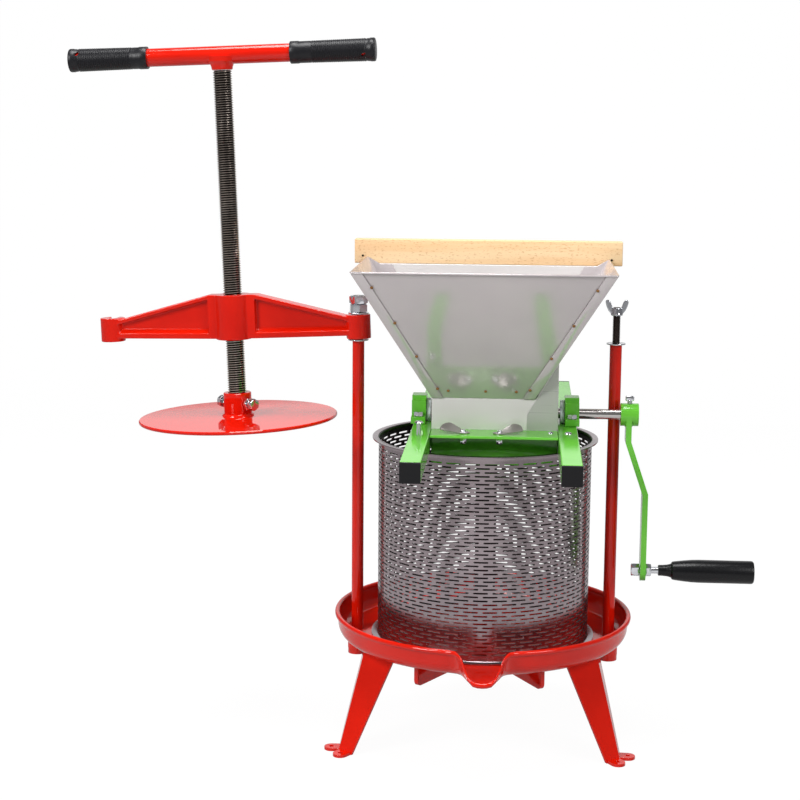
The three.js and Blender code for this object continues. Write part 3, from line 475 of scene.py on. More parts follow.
def bar_x(name, outline, x0, x1):
    """An outline of [y, z] run along X."""
    return stand_up(cut_out(name, outline, x1 - x0), shift(x0, 0, 0) @ ALONG_X)

def bar_y(name, outline, y0, y1):
    """An outline of [x, z] run along Y."""
    return stand_up(cut_out(name, outline, y1 - y0), shift(0, y1, 0) @ ALONG_Y)

def lay_x(piece, y=0.0, z=0.0):
    """Lays a piece that was turned around Z along X instead, at a height and depth."""
    return stand_up(piece, shift(0, y, z) @ ALONG_X)

print("outlines are ready")

# %% [markdown]
# Joining, cutting and softening. Boolean modifiers weld and cut, a Bevel modifier gives every edge
# the small round that catches the light, and each is applied at once so the mesh is final.

# %% Welding, cutting and easing edges
def apply_modifier(piece, kind, **settings):
    take(piece)
    modifier = piece.modifiers.new(kind.lower(), kind)
    for name, value in settings.items():
        setattr(modifier, name, value)
    bpy.ops.object.modifier_apply(modifier=modifier.name)
    return piece

def boolean(piece, tool, operation):
    apply_modifier(piece, "BOOLEAN", object=tool, operation=operation, solver="EXACT")
    bpy.data.objects.remove(tool)
    return piece

def weld(piece, *others):
    for other in others:
        boolean(piece, other, "UNION")
    return piece

def cut(piece, *tools):
    for tool in tools:
        boolean(piece, tool, "DIFFERENCE")
    return piece

def gather(name, *pieces):
    """Several closed shells that touch but need no welding, as one piece."""
    let_go()
    for piece in pieces:
        piece.select_set(True)
    bpy.context.view_layer.objects.active = pieces[0]
    bpy.ops.object.join()
    return named(name)

def ease(piece, width, segments=2, angle=30):
    return apply_modifier(piece, "BEVEL", width=width, segments=segments, limit_method="ANGLE",
                          angle_limit=math.radians(angle), use_clamp_overlap=True)

print("modifiers are ready")

# %% [markdown]
# A piece is finished by moving it into place, shading it smooth up to its sharp edges, giving it
# its finish, and telling the frame which node it stands for. Sheet-metal nodes whose CAD shape is
# already right are copied, merged and eased instead of being drawn again.

# %% Finishing a piece
finished = {}

def dress(piece, finish):
    piece.data.materials.clear()
    piece.data.materials.append(finishes[finish])
    return piece

def repaint(piece, finish, wanted):
    """A second finish for the faces for which wanted(centre, normal) is true."""
    piece.data.materials.append(finishes[finish])
    choose(piece, "FACE", wanted)
    piece.active_material_index = len(piece.data.materials) - 1
    bpy.ops.object.material_slot_assign()
    return done(piece)

def settle(piece, place, node, finish=None, sharp=32):
    """Moves a piece into place and lets it stand for a CAD node."""
    piece.data.transform(place)
    if place.determinant() < 0:
        piece.data.flip_normals()
    take(piece)
    bpy.ops.object.shade_smooth_by_angle(angle=math.radians(sharp))
    if finish or not piece.data.materials:
        dress(piece, finish or slot_of[node])
    piece.name = piece.data.name = node + "_finished"
    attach(piece, body_of[node])
    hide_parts(node)
    finished[node] = piece
    return piece

def traced(node, width=0.5, segments=2, angle=25):
    """A merged copy of a CAD node in millimetres, with its edges eased."""
    piece = new_object(node + "_copy", frame["nodes"][node].data.copy())
    piece.data.materials.clear()
    piece.data.transform(Matrix.Scale(1 / MM, 4))
    merge(piece, 0.003)
    bpy.ops.mesh.dissolve_limited(angle_limit=math.radians(1.5))
    return ease(done(piece), width, segments, angle)

def flat_kept(piece):
    """Lets large faces keep their own normals, so that they stay flat beside the eased edges."""
    return apply_modifier(piece, "WEIGHTED_NORMAL", keep_sharp=True, weight=100)

def traced_and_settled(node, width, segments, finish=None):
    return flat_kept(settle(traced(node, width, segments), to_metres, node, finish))

for node in ("rail_cap_left_front", "rail_cap_left_rear", "rail_cap_right_front", "rail_cap_right_rear"):
    traced_and_settled(node, 0.9, 3)
for node in ("cross_rear", "bearing_block_left", "bearing_block_right"):
    traced_and_settled(node, 0.8, 3)
for node in ("scraper", "mill_drum"):
    traced_and_settled(node, 0.35, 2)
# The hopper's rear takes the brighter copy of the sheet steel: painted light.
traced_and_settled("hopper_rear", 0.35, 2, "box_steel")
print(len(finished), "sheet and bar pieces eased")

# %% [markdown]
# ## The tray
# A pressed steel pan on a folded rim, with a pouring lip pulled out of its wall. The pan is turned
# first: floor, rounded corner, leaning wall. Then the columns of the wall in the lip's narrow sector
# are pulled outward and down, which is what the press tool does, and the sheet gets its thickness.
# The rolled rim is a ring of round section that is pulled along with the wall.

# %% The pouring lip's path
tray_floor, rim_height, wall_foot, rim_circle = 121.0, 147.0, 150.0, 173.0
lip_heading = -90 + 1.4
lip_points = [(0.0, 205.4, 121.6), (2.5, 205.0, 122.1), (4.3, 201.2, 127.2), (5.6, 194.8, 134.8),
              (7.2, 184.6, 143.2), (9.4, 176.3, 146.8), (12.0, 173.0, 147.0)]

def lip_at(degrees):
    """Radius and height of the rim's centre at an angle from the lip's middle."""
    reach = abs((degrees - lip_heading + 180) % 360 - 180)
    for (a0, r0, z0), (a1, r1, z1) in zip(lip_points, lip_points[1:]):
        if reach <= a1:
            share = (reach - a0) / (a1 - a0)
            return r0 + (r1 - r0) * share, z0 + (z1 - z0) * share
    return rim_circle, rim_height

def pull_lip(x, y, z, whole):
    """Where a point of the plain pan goes. The rolled rim moves whole, without stretching."""
    radius = math.hypot(x, y)
    heading = math.degrees(math.atan2(y, x))
    rim_radius, rim_z = lip_at(heading)
    if whole:
        new_radius, new_z = radius + rim_radius - rim_circle, z + rim_z - rim_height
    elif radius <= wall_foot:
        return x, y, z
    else:
        new_radius = wall_foot + (radius - wall_foot) * (rim_radius - wall_foot) / (rim_circle - wall_foot)
        new_z = tray_floor + (z - tray_floor) * (rim_z - tray_floor) / (rim_height - tray_floor)
    return x * new_radius / radius, y * new_radius / radius, new_z

print("the lip reaches out to", lip_points[0][1], "mm")

# %% Pan, rim and lip
def corner(cx, cz, radius, start, end, steps):
    angles = [math.radians(start + (end - start) * i / steps) for i in range(steps + 1)]
    return [[cx + radius * math.cos(angle), cz + radius * math.sin(angle)] for angle in angles]

pan_profile = [[130, tray_floor], [wall_foot, tray_floor]] + corner(156, tray_floor + 14, 14, -84, -5, 8)
pan_profile += [[170.6, 141], [171.6, 145.5], [172.6, rim_height]]
columns = 360
pan = first_ring("pan", pan_profile[0], columns)
pull_ring(pan_profile)
bpy.ops.mesh.select_all(action="DESELECT")
done(pan)
fill(pan, lambda at, along: math.hypot(at.x, at.y) < pan_profile[0][0])
for vertex in pan.data.vertices:
    vertex.co = pull_lip(*vertex.co, whole=False)
choose_all(pan)
outward(pan)
if pan.data.polygons[0].normal.z < 0:
    pan.data.flip_normals()
apply_modifier(pan, "SOLIDIFY", thickness=2.0, offset=-1.0, use_even_offset=True)

rim = begin("rim", bpy.ops.mesh.primitive_torus_add, major_segments=columns, minor_segments=16,
            major_radius=rim_circle, minor_radius=3.0, location=(0, 0, rim_height))
bpy.ops.object.transform_apply(location=True)
for vertex in rim.data.vertices:
    vertex.co = pull_lip(*vertex.co, whole=True)
print("pan and rim", len(pan.data.polygons), "and", len(rim.data.polygons), "faces")

# %% Studs under the tray
leg_headings = {"left": 210, "right": 330, "rear": 90}
leg_bolts = 126
studs = []
for name, heading in leg_headings.items():
    stud = ease(rod("stud", 4, 106, 119.5, 24), 0.6)
    studs.append(stand_up(stud, turn("Z", heading) @ shift(leg_bolts, 0, 0)))
tray = settle(gather("tray_pan", gather("tray_pan", pan, rim), *studs), tray_place, "tray")
print("tray", len(tray.data.polygons), "faces")

# %% [markdown]
# ## The star and the legs
# Under the tray three flat bars cross; the longest carries the two posts. Legs are folded sheet.

# %% Star of flat bars
star_low, star_top = 91.7, 118.7

def star_bar(heading, reach):
    """A bar on edge whose lower corners are rounded off."""
    piece = bar("star_bar", -reach, reach, -2.5, 2.5, star_low, star_top)
    choose(piece, "EDGE", lambda at, along: abs(at.x) > reach - 1 and at.z < star_low + 0.3
           and abs(along.y) > 0.9)
    bpy.ops.mesh.bevel(offset=7, offset_type="OFFSET", segments=5)
    return stand_up(done(piece), turn("Z", heading))

star = star_bar(0, 161)
weld(star, star_bar(60, 143), star_bar(120, 143))
for side in (-1, 1):
    weld(star, stand_up(rod("socket", 11, star_low, star_top), shift(side * post_reach, 0, 0)))
settle(ease(star, 0.7), tray_place, "base_star")

for name in leg_headings:
    traced_and_settled("leg_" + name, 0.8, 3)
print(len(finished), "pieces, with the star and the legs")

# %% [markdown]
# ## Threads, nuts and bolts
# A thread is one tooth of a profile wound up by a Screw modifier. The wound strip is closed at both
# ends and then trimmed by a turned bar with a chamfer, as a die leaves it. Nuts and bolt heads are
# six-sided rods whose corners are trimmed by a shallow cone on each side.

# %% Thread
def thread(name, radius, depth, pitch, z0, z1, chamfer, sides, flat=0.3):
    """flat is the share of the pitch that lies level in the groove and on the crest."""
    turns = int((z1 - z0) / pitch) + 3
    tooth = [(radius - depth, 0), (radius - depth, pitch * flat), (radius, pitch * 0.5),
             (radius, pitch * (0.5 + flat)), (radius - depth, pitch)]
    piece = done(drag_point(name, [(x, 0, z + z0 - 1.5 * pitch) for x, z in tooth]))
    apply_modifier(piece, "SCREW", angle=math.tau, screw_offset=pitch, iterations=turns, steps=sides,
                   render_steps=sides, axis="Z", use_merge_vertices=True, merge_threshold=0.001)
    merge(piece, 0.001)
    choose_open_ends()
    bpy.ops.mesh.edge_face_add()
    outward(piece)
    envelope = turned("envelope", [[radius - chamfer, z0], [radius + 0.02, z0 + chamfer],
                                   [radius + 0.02, z1 - chamfer], [radius - chamfer, z1]], 48)
    return boolean(piece, envelope, "INTERSECT")

print("threads can be wound")

# %% Hexagons
def hexagon(name, across, z0, z1):
    """A six-sided head or nut whose corners are trimmed on both faces."""
    corner_radius = across / 2 / math.cos(math.pi / 6)
    face_radius = across * 0.47
    rise = (corner_radius - face_radius) * 0.58 + 0.15
    trim = turned("trim", [[face_radius, z0], [corner_radius + 0.3, z0 + rise],
                           [corner_radius + 0.3, z1 - rise], [face_radius, z1]], 48)
    return ease(boolean(rod(name, corner_radius, z0, z1, 6), trim, "INTERSECT"), 0.18, 1, 20)

def nut(name, across, bore, z0, z1):
    wide = bore + 1
    hole = turned("bore", [[wide, z0 - 0.5], [bore, z0 + 0.8], [bore, z1 - 0.8], [wide, z1 + 0.5]], 32)
    return cut(hexagon(name, across, z0, z1), hole)

def washer(name, outer, inner, z0, z1):
    return ease(turned(name, [[inner, z0], [outer, z0], [outer, z1], [inner, z1]], 48, ring=True), 0.3, 2)

print("nuts and washers are ready")

# %% Nuts under the tray
leg_sheet, gap, nut_high = 3.5, 0.3, 6.5
nut_low = star_top - leg_sheet - gap - nut_high
for name, heading in leg_headings.items():
    below_stud = tray_place @ turn("Z", heading) @ shift(leg_bolts, 0, 0)
    settle(nut("leg_nut", 13, 4.2, nut_low, nut_low + nut_high), below_stud, "leg_nut_" + name)
print(len(finished), "pieces, with the nuts under the legs")

# %% [markdown]
# ## The posts and what is screwed on them
# Each post is a painted rod with a thinner threaded end that leaves a shoulder. The left one carries
# the beam between two washers, under a pair of locked nuts. The right one waits with its wing nut.

# %% Posts
shoulder = 470.0

def post(stud_radius, stud_length, threads):
    shank = turned("post", [[6, star_low], [6, 121.3], [7, 121.3], [7, shoulder - 0.6], [6.4, shoulder],
                            [stud_radius - 0.8, shoulder], [stud_radius - 0.8, shoulder + 2]], 48)
    stud = thread("stud", stud_radius, 0.75, threads, shoulder - 1, shoulder + stud_length, 0.8, 24)
    return gather("post", dress(shank, "red_paint"), dress(stud, "stud_steel"))

settle(post(6, 53, 1.75), left_post, "post_left")
settle(post(4.5, 43.5, 1.25), right_post, "post_right")
print("posts up to a shoulder at", shoulder, "mm")

# %% Washers and nuts on the posts
def on_post(piece, node, post_place, **more):
    """Puts a piece that was made from z=0 upward round a post, where its CAD node stands."""
    low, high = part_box(node)
    middle = post_place.translation
    return settle(piece, shift(middle.x, middle.y, low.z) @ to_metres, node, **more)

on_post(washer("washer", 12, 6.3, 0, 1.6), "washer_low_left", left_post)
on_post(washer("washer", 12, 6.3, 0, 1.6), "washer_top_left", left_post)
on_post(washer("washer", 11, 4.8, 0, 1.6), "washer_right", right_post)
for node, twist in (("lock_nut_lower", 12), ("lock_nut_upper", 41)):
    on_post(stand_up(nut("lock_nut", 19, 6.2, 0, 9.5), turn("Z", twist)), node, left_post)
print(len(finished), "pieces, with the posts and what is screwed on them")

# %% [markdown]
# ## The beam
# A painted iron casting: three bosses joined by two arms, each with a thick border round a thin web.
# Castings have no sharp corner anywhere. So the parts are welded roughly, the whole is remeshed into
# an even skin, and smoothing lets every inner and outer corner flow, as the pattern maker's fillets do.

# %% Arms with their pockets
arm_half, web_half, border = 11, 4.5, 5.2
beam_length, boss_half, beam_top = 2 * post_reach, 14, 40
arm_level_half, arm_end_top = 28.5, 11.5

def beam_arm(side, end):
    """side is 1 toward the free end; end is where the arm stops inside the end boss."""
    root, level = post_reach + side * 12.9, post_reach + side * arm_level_half
    outline = [[root, -12], [end, -10], [end, arm_end_top], [level, beam_top], [root, beam_top]]
    arm = bar_y("arm", outline, -arm_half, arm_half)
    slope = (arm_end_top - beam_top) / (end - level)
    ceiling = lambda x: beam_top + slope * (x - level) - border
    pocket = [[level, -6.8], [end, -5.4], [end, ceiling(end)], [level, ceiling(level)]]
    for face in (-1, 1):
        tool = bar_y("pocket", pocket, min(face * web_half, face * 13), max(face * web_half, face * 13))
        choose(tool, "VERT", lambda at, normal: abs(at.y) < web_half + 0.1 and at.z < -3)
        bpy.ops.transform.translate(value=(0, 0, 6))
        cut(arm, done(tool))
    return arm

def upright(name, radius, x, low, high, sides=48):
    return stand_up(rod(name, radius, low, high, sides), shift(x, 0, 0))

print("arms for a beam of", beam_length, "mm between its end bosses")

# %% Bosses, bores and the open slot
beam = upright("beam", 21.5, post_reach, -13, beam_top, 64)
weld(beam, beam_arm(-1, 8.6), beam_arm(1, beam_length - 8.6))
weld(beam, upright("boss", 14.4, 0, -boss_half, boss_half, 64))
weld(beam, upright("boss", 14.4, beam_length, -boss_half, boss_half, 64))
cut(beam, upright("bore", 7.4, 0, -20, 20), upright("bore", 11.3, post_reach, -20, 60))
slot_radius = 5.25
cut(beam, upright("slot", slot_radius, beam_length, -20, 20))
cut(beam, bar("slot", beam_length - slot_radius, beam_length + slot_radius, -30, 0, -20, 20))
apply_modifier(beam, "REMESH", mode="VOXEL", voxel_size=0.7)
apply_modifier(beam, "SMOOTH", factor=0.5, iterations=3)
settle(beam, beam_place, "press_beam", sharp=80)
print("beam", len(beam.data.polygons), "faces")

# %% [markdown]
# ## Screw, handle and plate
# The screw has a deep square-looking thread with dark oil in it. The T-handle is a painted tube
# welded across its top, with ribbed grips pushed over the ends.

# %% Screw
screw_pitch, handle_high = 2.75, 317.5
screw = dress(thread("screw", 11, 1.5, screw_pitch, -99, 300, 1.0, 40, 0.28), "dark_steel")
# Crests and upward-facing flanks take the bright steel: worn crests, with a painted highlight on them and on
# the flanks.
repaint(screw, "worn_steel", lambda at, normal: normal.z > 0.15 or math.hypot(at.x, at.y) > 10.7)
core = dress(rod("core", 9.2, -60, 306.7, 40), "dark_steel")
settle(gather("screw", screw, core), screw_place, "press_screw", sharp=40)
print("screw", len(screw.data.polygons), "faces")

# %% Handle tube and its weld
tube = lay_x(turned("tube", [[10.4, -174], [10.5, -173.5], [10.5, 173.5], [10.4, 174]]), 0, handle_high)
collar = turned("weld", [[11.2, 300.5], [12.2, 301.4], [12.5, 304], [13.6, 307],
                         [16.0, 310.2], [16.4, 316]], 48)
handle = settle(gather("handle", tube, collar), handle_place, "handle_bar")
print("handle", len(handle.data.polygons), "faces")

# %% Ribbed grips
handle_half, rib_pitch, ribs, ribs_length = 180, 2.25, 28, 74

def handle_grip(length):
    """From the collar outward: a smooth neck, fine ribs all the way, and the flanged end."""
    profile = [[10.8, 0], [12.6, 0], [12.9, 0.6], [12.9, 9.4], [12.4, 10.4]]
    swell = lambda at: 12.0 + 0.9 * at / length
    first, end = length - ribs_length, length - 6.5
    profile.append([swell(first) + 0.25, first - 2])
    for rib in range(ribs):
        at = first + rib_pitch * rib
        low, high = swell(at) - 0.05, swell(at) + 0.4
        profile += [[low, at], [high, at + 0.45], [high, at + 1.3], [low, at + 1.75]]
    profile.append([swell(first) + 0.3, first + rib_pitch * ribs + 0.3])
    profile += [[13.0, end - 2.5], [13.1, end], [13.5, end + 0.7]]
    profile += [[13.5, length - 1.8], [12.9, length - 0.6], [11, length]]
    return turned("grip", profile)

for node, length, half_turn, peep_x, peep_turn in (("handle_grip_left", 93, 0, 168.8, -56),
                                                   ("handle_grip_right", 99, 180, -166.5, -117)):
    grip = lay_x(handle_grip(length), 0, handle_high)
    stand_up(grip, turn("Z", half_turn) @ shift(handle_half - length, 0, 0))
    oval = turn("Z", 30) @ Matrix.Diagonal((2.9, 2.0, 1, 1))
    peep = stand_up(rod("peep", 1, 5, 20, 24), shift(peep_x, 0, handle_high) @ turn("X", peep_turn) @ oval)
    settle(cut(grip, peep), handle_place, node)
print("grips with", ribs, "ribs each")

# %% Plate, collar and weld
plate = turned("plate", [[117, -109], [118, -108], [118, -106], [117, -105]], 128)
collar = turned("collar", [[16.2, -105.5], [16.5, -105], [16.5, -77.8], [15.7, -77],
                           [11.4, -77], [11.4, -80]])
bead = turned("bead", [[16, -105.2], [19.2, -105.2], [19.0, -104.1], [17.4, -102.3], [16, -102]], ring=True)
settle(gather("plate", plate, collar, bead), screw_place, "press_plate", "mirror_red")

for side, node in ((0, "plate_bolt_left"), (180, "plate_bolt_right")):
    head = hexagon("head", 13, 24.5, 30.5)
    locking = stand_up(hexagon("locking", 13, 17.2, 22.2), turn("Z", 23))
    shank = thread("shank", 4, 0.5, 1.25, 8.4, 25.5, 0.5, 20)
    bolt = lay_x(gather("bolt", head, locking, shank), 0, -90)
    settle(stand_up(bolt, turn("Z", side - 34)), screw_place, node)
print(len(finished), "pieces, with the plate and its bolts")

# %% [markdown]
# ## The basket
# A stainless cylinder punched with some 1,800 slots in brick pattern, with a flange at each end.
# One brick of the pattern is drawn flat, repeated by two Array modifiers, rolled into a cylinder and
# only then given its thickness, which keeps every slot's edge clean. The inside gets a darker steel
# than the brushed outside: painted shade for the dim inside of the basket. A plain strip at the back laps
# the joint of the rolled sheet.

# %% One brick of the pattern
basket_radius, wall = 124.25, 1.5
around, rows, pitch = 36, 50, 4.45
period = 2 * math.pi * basket_radius / around
slot_half, slot_high, end = 8.5, 0.96, 0.7

def brick(name, plain=False):
    """Two rows high and one period wide: slots are holes between the faces. Plain is the strip below."""
    points, faces = [], []
    def point(x, y):
        points.append((x, 0, y))
        return len(points) - 1
    def web(y0, y1, xs):
        low = [point(x, y0) for x in xs]
        high = [point(x, y1) for x in xs]
        faces.extend((low[i], low[i + 1], high[i + 1], high[i]) for i in range(len(xs) - 1))
    half = period / 2
    marks = sorted({0.0, half, period} | {s % period for s in (
        slot_half, slot_half - end, -slot_half, -slot_half + end,
        half + slot_half, half + slot_half - end, half - slot_half, half - slot_half + end)})
    if plain:
        web(slot_high - pitch, -slot_high, marks)
    for row, middle in () if plain else ((0, 0.0), (1, half)):
        base = row * pitch
        web(base + slot_high, base + pitch - slot_high, marks)
        left, right = middle + slot_half, middle + period - slot_half
        repeated = [m + k * period for m in marks for k in (-1, 0, 1)]
        bridge = sorted({round(x, 6) for x in repeated if left - end - 0.01 <= x <= right + end + 0.01})
        shiftback = -period if left >= period - 1e-6 else 0.0
        top_row = [point(x + shiftback, base + slot_high) for x in bridge]
        low_row = [point(x + shiftback, base - slot_high) for x in bridge]
        tip_left = point(left + shiftback, base)
        tip_right = point(right + shiftback, base)
        faces.append((low_row[0], low_row[1], tip_left))
        faces.append((tip_left, top_row[1], top_row[0]))
        faces.append((tip_left, *low_row[1:-1], tip_right, *top_row[1:-1][::-1]))
        faces.append((low_row[-2], low_row[-1], tip_right))
        faces.append((tip_right, top_row[-1], top_row[-2]))
    mesh = bpy.data.meshes.new(name)
    mesh.from_pydata(points, [], faces)
    return new_object(name, mesh)

def repeat(piece, count, step):
    return apply_modifier(piece, "ARRAY", count=count, use_relative_offset=False, use_constant_offset=True,
                          constant_offset_displace=step, use_merge_vertices=True, merge_threshold=0.01)

basket = done(merge(brick("basket_wall"), 0.01))
repeat(basket, around, (period, 0, 0))
repeat(basket, rows // 2, (0, 0, 2 * pitch))
foot = repeat(brick("basket_foot", plain=True), around, (period, 0, 0))
basket = gather("basket_wall", basket, foot)
print("flat pattern", len(basket.data.polygons), "faces")

# %% Roll it up and add the flanges
bottom, height = 121.3, 237.7
first = bottom + (height - (rows - 1) * pitch) / 2
for vertex in basket.data.vertices:
    angle = vertex.co.x / basket_radius
    z = vertex.co.z + first
    vertex.co = (basket_radius * math.sin(angle), -basket_radius * math.cos(angle), z)
outward(merge(basket, 0.02))

def edge_band(piece, start, stations):
    """Pulls the boundary ring near a height through [radius, height] stations."""
    choose(piece, "EDGE", lambda at, along: abs(at.z - start) < 0.05 and abs(along.z) < 0.01)
    pull_ring([[basket_radius, start]] + stations)
    return done(piece)

low_edge = min(v.co.z for v in basket.data.vertices)
high_edge = max(v.co.z for v in basket.data.vertices)
flange_out = 133 - wall / 2
for edge, seat, up in ((high_edge, 358.25, 1), (low_edge, 122.05, -1)):
    edge_band(basket, edge, [[basket_radius, seat - up * 3.25], [basket_radius + 0.4, seat - up * 1.05],
                             [basket_radius + 1.7, seat], [flange_out, seat]])
apply_modifier(basket, "SOLIDIFY", thickness=wall, offset=0.0)

seam_half, seam_radius, seam_middle, seam_high = 13.0, basket_radius + 1.2, 240.2, 229
seam = begin("seam", bpy.ops.mesh.primitive_grid_add, x_subdivisions=12, y_subdivisions=1, size=1)
for vertex in seam.data.vertices:
    angle = 2 * vertex.co.x * seam_half / seam_radius
    height_here = seam_middle + seam_high * vertex.co.y
    vertex.co = (-seam_radius * math.sin(angle), seam_radius * math.cos(angle), height_here)
apply_modifier(seam, "SOLIDIFY", thickness=0.9, offset=0.0)
basket = dress(gather("basket_wall", basket, seam), "basket_steel")
# Faces that look toward the axis get the darker inner steel: painted shade for the dim inside.
inner_shade_faces = lambda at, normal: normal.x * at.x + normal.y * at.y < -0.4 * math.hypot(at.x, at.y)
repaint(basket, "inner_steel", inner_shade_faces)
settle(basket, tray_place, "basket", sharp=40)
print("basket", sum(len(face.vertices) - 2 for face in basket.data.polygons), "triangles")

# %% [markdown]
# ## The hopper's sides
# Each side is a folded sheet riveted to the front panel. The rivets are low brown domes, cut from
# flattened balls, in a slanted row up the folded strip.

# %% Rivets and hopper sides
def dome(name, radius, rise, sides=20):
    """A low dome standing on z=0, as a rivet or the end of a bolt."""
    piece = begin(name, bpy.ops.mesh.primitive_uv_sphere_add, segments=sides, ring_count=10, radius=radius)
    trim_away(piece, lambda at, normal: at.z < -0.01)
    fill(piece, lambda at, along: at.z < 0.01)
    return stand_up(piece, Matrix.Diagonal((1, 1, rise / radius, 1)))

rim_z, rim_y = 204, -149
mouth_z, mouth_y = 57.3, -80.2
front_tilt = math.degrees(math.atan((mouth_y - rim_y) / (rim_z - mouth_z)))

def along_slope(z, rim_value, mouth_value):
    """A value at a height between the hopper's rim and its mouth."""
    return mouth_value + (rim_value - mouth_value) * (z - mouth_z) / (rim_z - mouth_z)

def front_rivet(x, z, sunk, radius, rise):
    place = shift(x, along_slope(z, rim_y, mouth_y) - sunk, z) @ turn("X", 90 + front_tilt)
    return dress(stand_up(dome("rivet", radius, rise), mill_mm @ place), "rivet_brown")

for side, node, rim_x, mouth_x, inward in ((-1, "hopper_left", -158.2, -71.2, 13.4),
                                           (1, "hopper_right", 131.8, 44.5, 12.0)):
    sheet = dress(traced(node, 0.35, 2), "sheet_steel")
    rivets = [front_rivet(along_slope(z, rim_x, mouth_x) - side * inward, z, 1.5, 1.8, 1.2)
              for z in (186.5, 146.0, 107.0, 68.5)]
    settle(gather("side", sheet, *rivets), to_metres, node)
print("hopper sides with", len(rivets), "rivets each")

# %% Hopper front with its hem and rivets
front_sheet = dress(traced("hopper_front", 0.35, 2), "sheet_steel")
hem = bar_x("hem", [[-150.6, 202.0], [-149.2, 202.0], [-148.2, 204.0], [-149.8, 204.0]], -156.5, 130.0)
hem = dress(stand_up(ease(hem, 0.5, 2), mill_mm), "sheet_steel")
row = [front_rivet(x, 66, 0.4, 1.7, 1.1) for x in (-52.6, -10.5, 24.0)]
settle(gather("front", front_sheet, hem, *row), to_metres, "hopper_front")
print("hopper front with", len(row), "rivets")

# %% Box front with its lapped sheet
# The box takes the brighter copy of the sheet steel: painted light on its front.
box = dress(traced("mill_box", 0.35, 2), "box_steel")
lap_outline = [[36.5, -7], [70.6, -7], [70.6, 96.0], [47.6, 57.2], [45.2, 55], [36.5, 40.0]]
lap = bar_y("lap", lap_outline, -80.9, -80.25)
lap = dress(stand_up(ease(lap, 0.2, 1), mill_mm), "lap_steel")
box = settle(gather("box", box, lap), to_metres, "mill_box")
print("mill box", len(box.data.polygons), "faces")

# %% Board with the tips of the hopper's ears screwed to it
board = dress(traced("hopper_board", 1.2, 3), "beech")
board_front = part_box("hopper_board")[0].y / MM
pins = []
for x, z in ((-163.3, 205.0), (133.9, 203.2)):
    pin_place = shift(mill_mm.translation.x + x, board_front, mill_mm.translation.z + z) @ turn("X", 90)
    pins.append(dress(stand_up(dome("pin", 1.4, 0.8), pin_place), "dark_steel"))
settle(gather("board", board, *pins), to_metres, "hopper_board")
print(len(finished), "pieces, with the box and the board")

# %% [markdown]
# ## Bearings, shaft and crank
# The shaft runs in two nylon bushes under arched blocks. Everything on this line is turned on a
# lathe round the shaft and laid along it; the blocks' bolts, the crank's bolt and its nut are hexagons.

# %% Bushes and shaft
shaft_y, shaft_z = -20, 32
half_round = shift(0, shaft_y, 0) @ turn("Z", 180) @ shift(0, -shaft_y, 0)

def on_shaft(piece, node, place=mill_place, line=shaft_z, **more):
    """Lays a turned piece along the shaft, or along a line below it."""
    return settle(lay_x(piece, shaft_y, line), place, node, **more)

def block_bolt(y):
    head = hexagon("head", 10, 30.6, 35.6)
    ridge = turned("ridge", [[4.9, 30.6], [5.6, 30.6], [5.6, 31.2], [4.9, 31.2]], 32, ring=True)
    ease(ridge, 0.15, 1)
    shank = rod("shank", 2.9, 22.4, 31, 20)
    return stand_up(gather("block_bolt", head, ridge, shank), shift(88.05, y, 0))

for side, place, outer in (("right", mill_place, 1), ("left", mill_place @ half_round, -1)):
    bush = lay_x(turned("bush", [[6.3, 74.6], [14.9, 74.6], [15.5, 75.2], [15.5, 78.9], [14.9, 79.5],
                                 [12.5, 79.5], [12.5, 95.7], [11.9, 96.3], [6.3, 96.3]], ring=True),
                 shaft_y, shaft_z)
    cut(bush, bar("below", 70, 100, -60, 20, -10, 22.3))
    settle(ease(bush, 0.25), place, "bearing_bush_" + side)
    for end_name, sign in (("front", -1), ("rear", 1)):
        settle(block_bolt(shaft_y + outer * sign * 26), place, "block_bolt_" + side + "_" + end_name)
shaft = turned("shaft", [[5.2, -94.3], [6, -93.5], [6, 161.0], [5.2, 161.8]])
on_shaft(shaft, "drum_shaft", sharp=20)
print(len(finished), "pieces, with the bearings")

# %% Rails and the front angle with their small bolts
def pan_head(radius, rise, x, y, z, shank=None):
    """A low round head with its top at z; shank is [radius, foot] of what shows below it."""
    head = stand_up(dome("pan_head", radius, rise), shift(0, 0, z - rise))
    if shank:
        head = gather("pan_head", head, rod("pan_shank", shank[0], shank[1], z - rise + 0.1, 20))
    return dress(stand_up(head, mill_mm @ shift(x, y, 0)), "zinc")

for node, ease_width, *heads in (
        ("rail_left", 1.4, (4.7, 2.8, -82.5, -131.0, 39.8, (2.5, 21.0))),
        ("rail_right", 1.4, (4.3, 2.2, 82.5, -97.5, 24.1)),
        ("cross_front", 0.8, (2.2, 2.0, 26.4, -94.3, 24.0), (2.9, 2.2, 63.0, -96.5, 24.2))):
    heads = [pan_head(*sizes) for sizes in heads]
    green_bar = dress(traced(node, ease_width, 4), "green_paint")
    flat_kept(settle(gather(node, green_bar, *heads), to_metres, node))
    print(node, "with", len(heads), "bolt heads")

# %% Crank arm with its weld
arm = dress(traced("crank_arm", 0.9, 3, 35), "green_paint")
fillets = []
for x in (150.6, 157.0):
    fillet = begin("fillet", bpy.ops.mesh.primitive_torus_add, major_segments=48, minor_segments=8,
                   major_radius=13.0, minor_radius=1.5)
    trim_away(fillet, lambda at, normal: at.x < 6.5)
    fill(fillet, lambda at, along: at.x < 8.2)
    stand_up(fillet, mill_mm @ shift(x, shaft_y, shaft_z) @ turn("Y", 90))
    fillets.append(dress(fillet, "green_paint"))
settle(gather("crank_arm", arm, *fillets), to_metres, "crank_arm")
print("crank arm with", len(fillets), "welds")

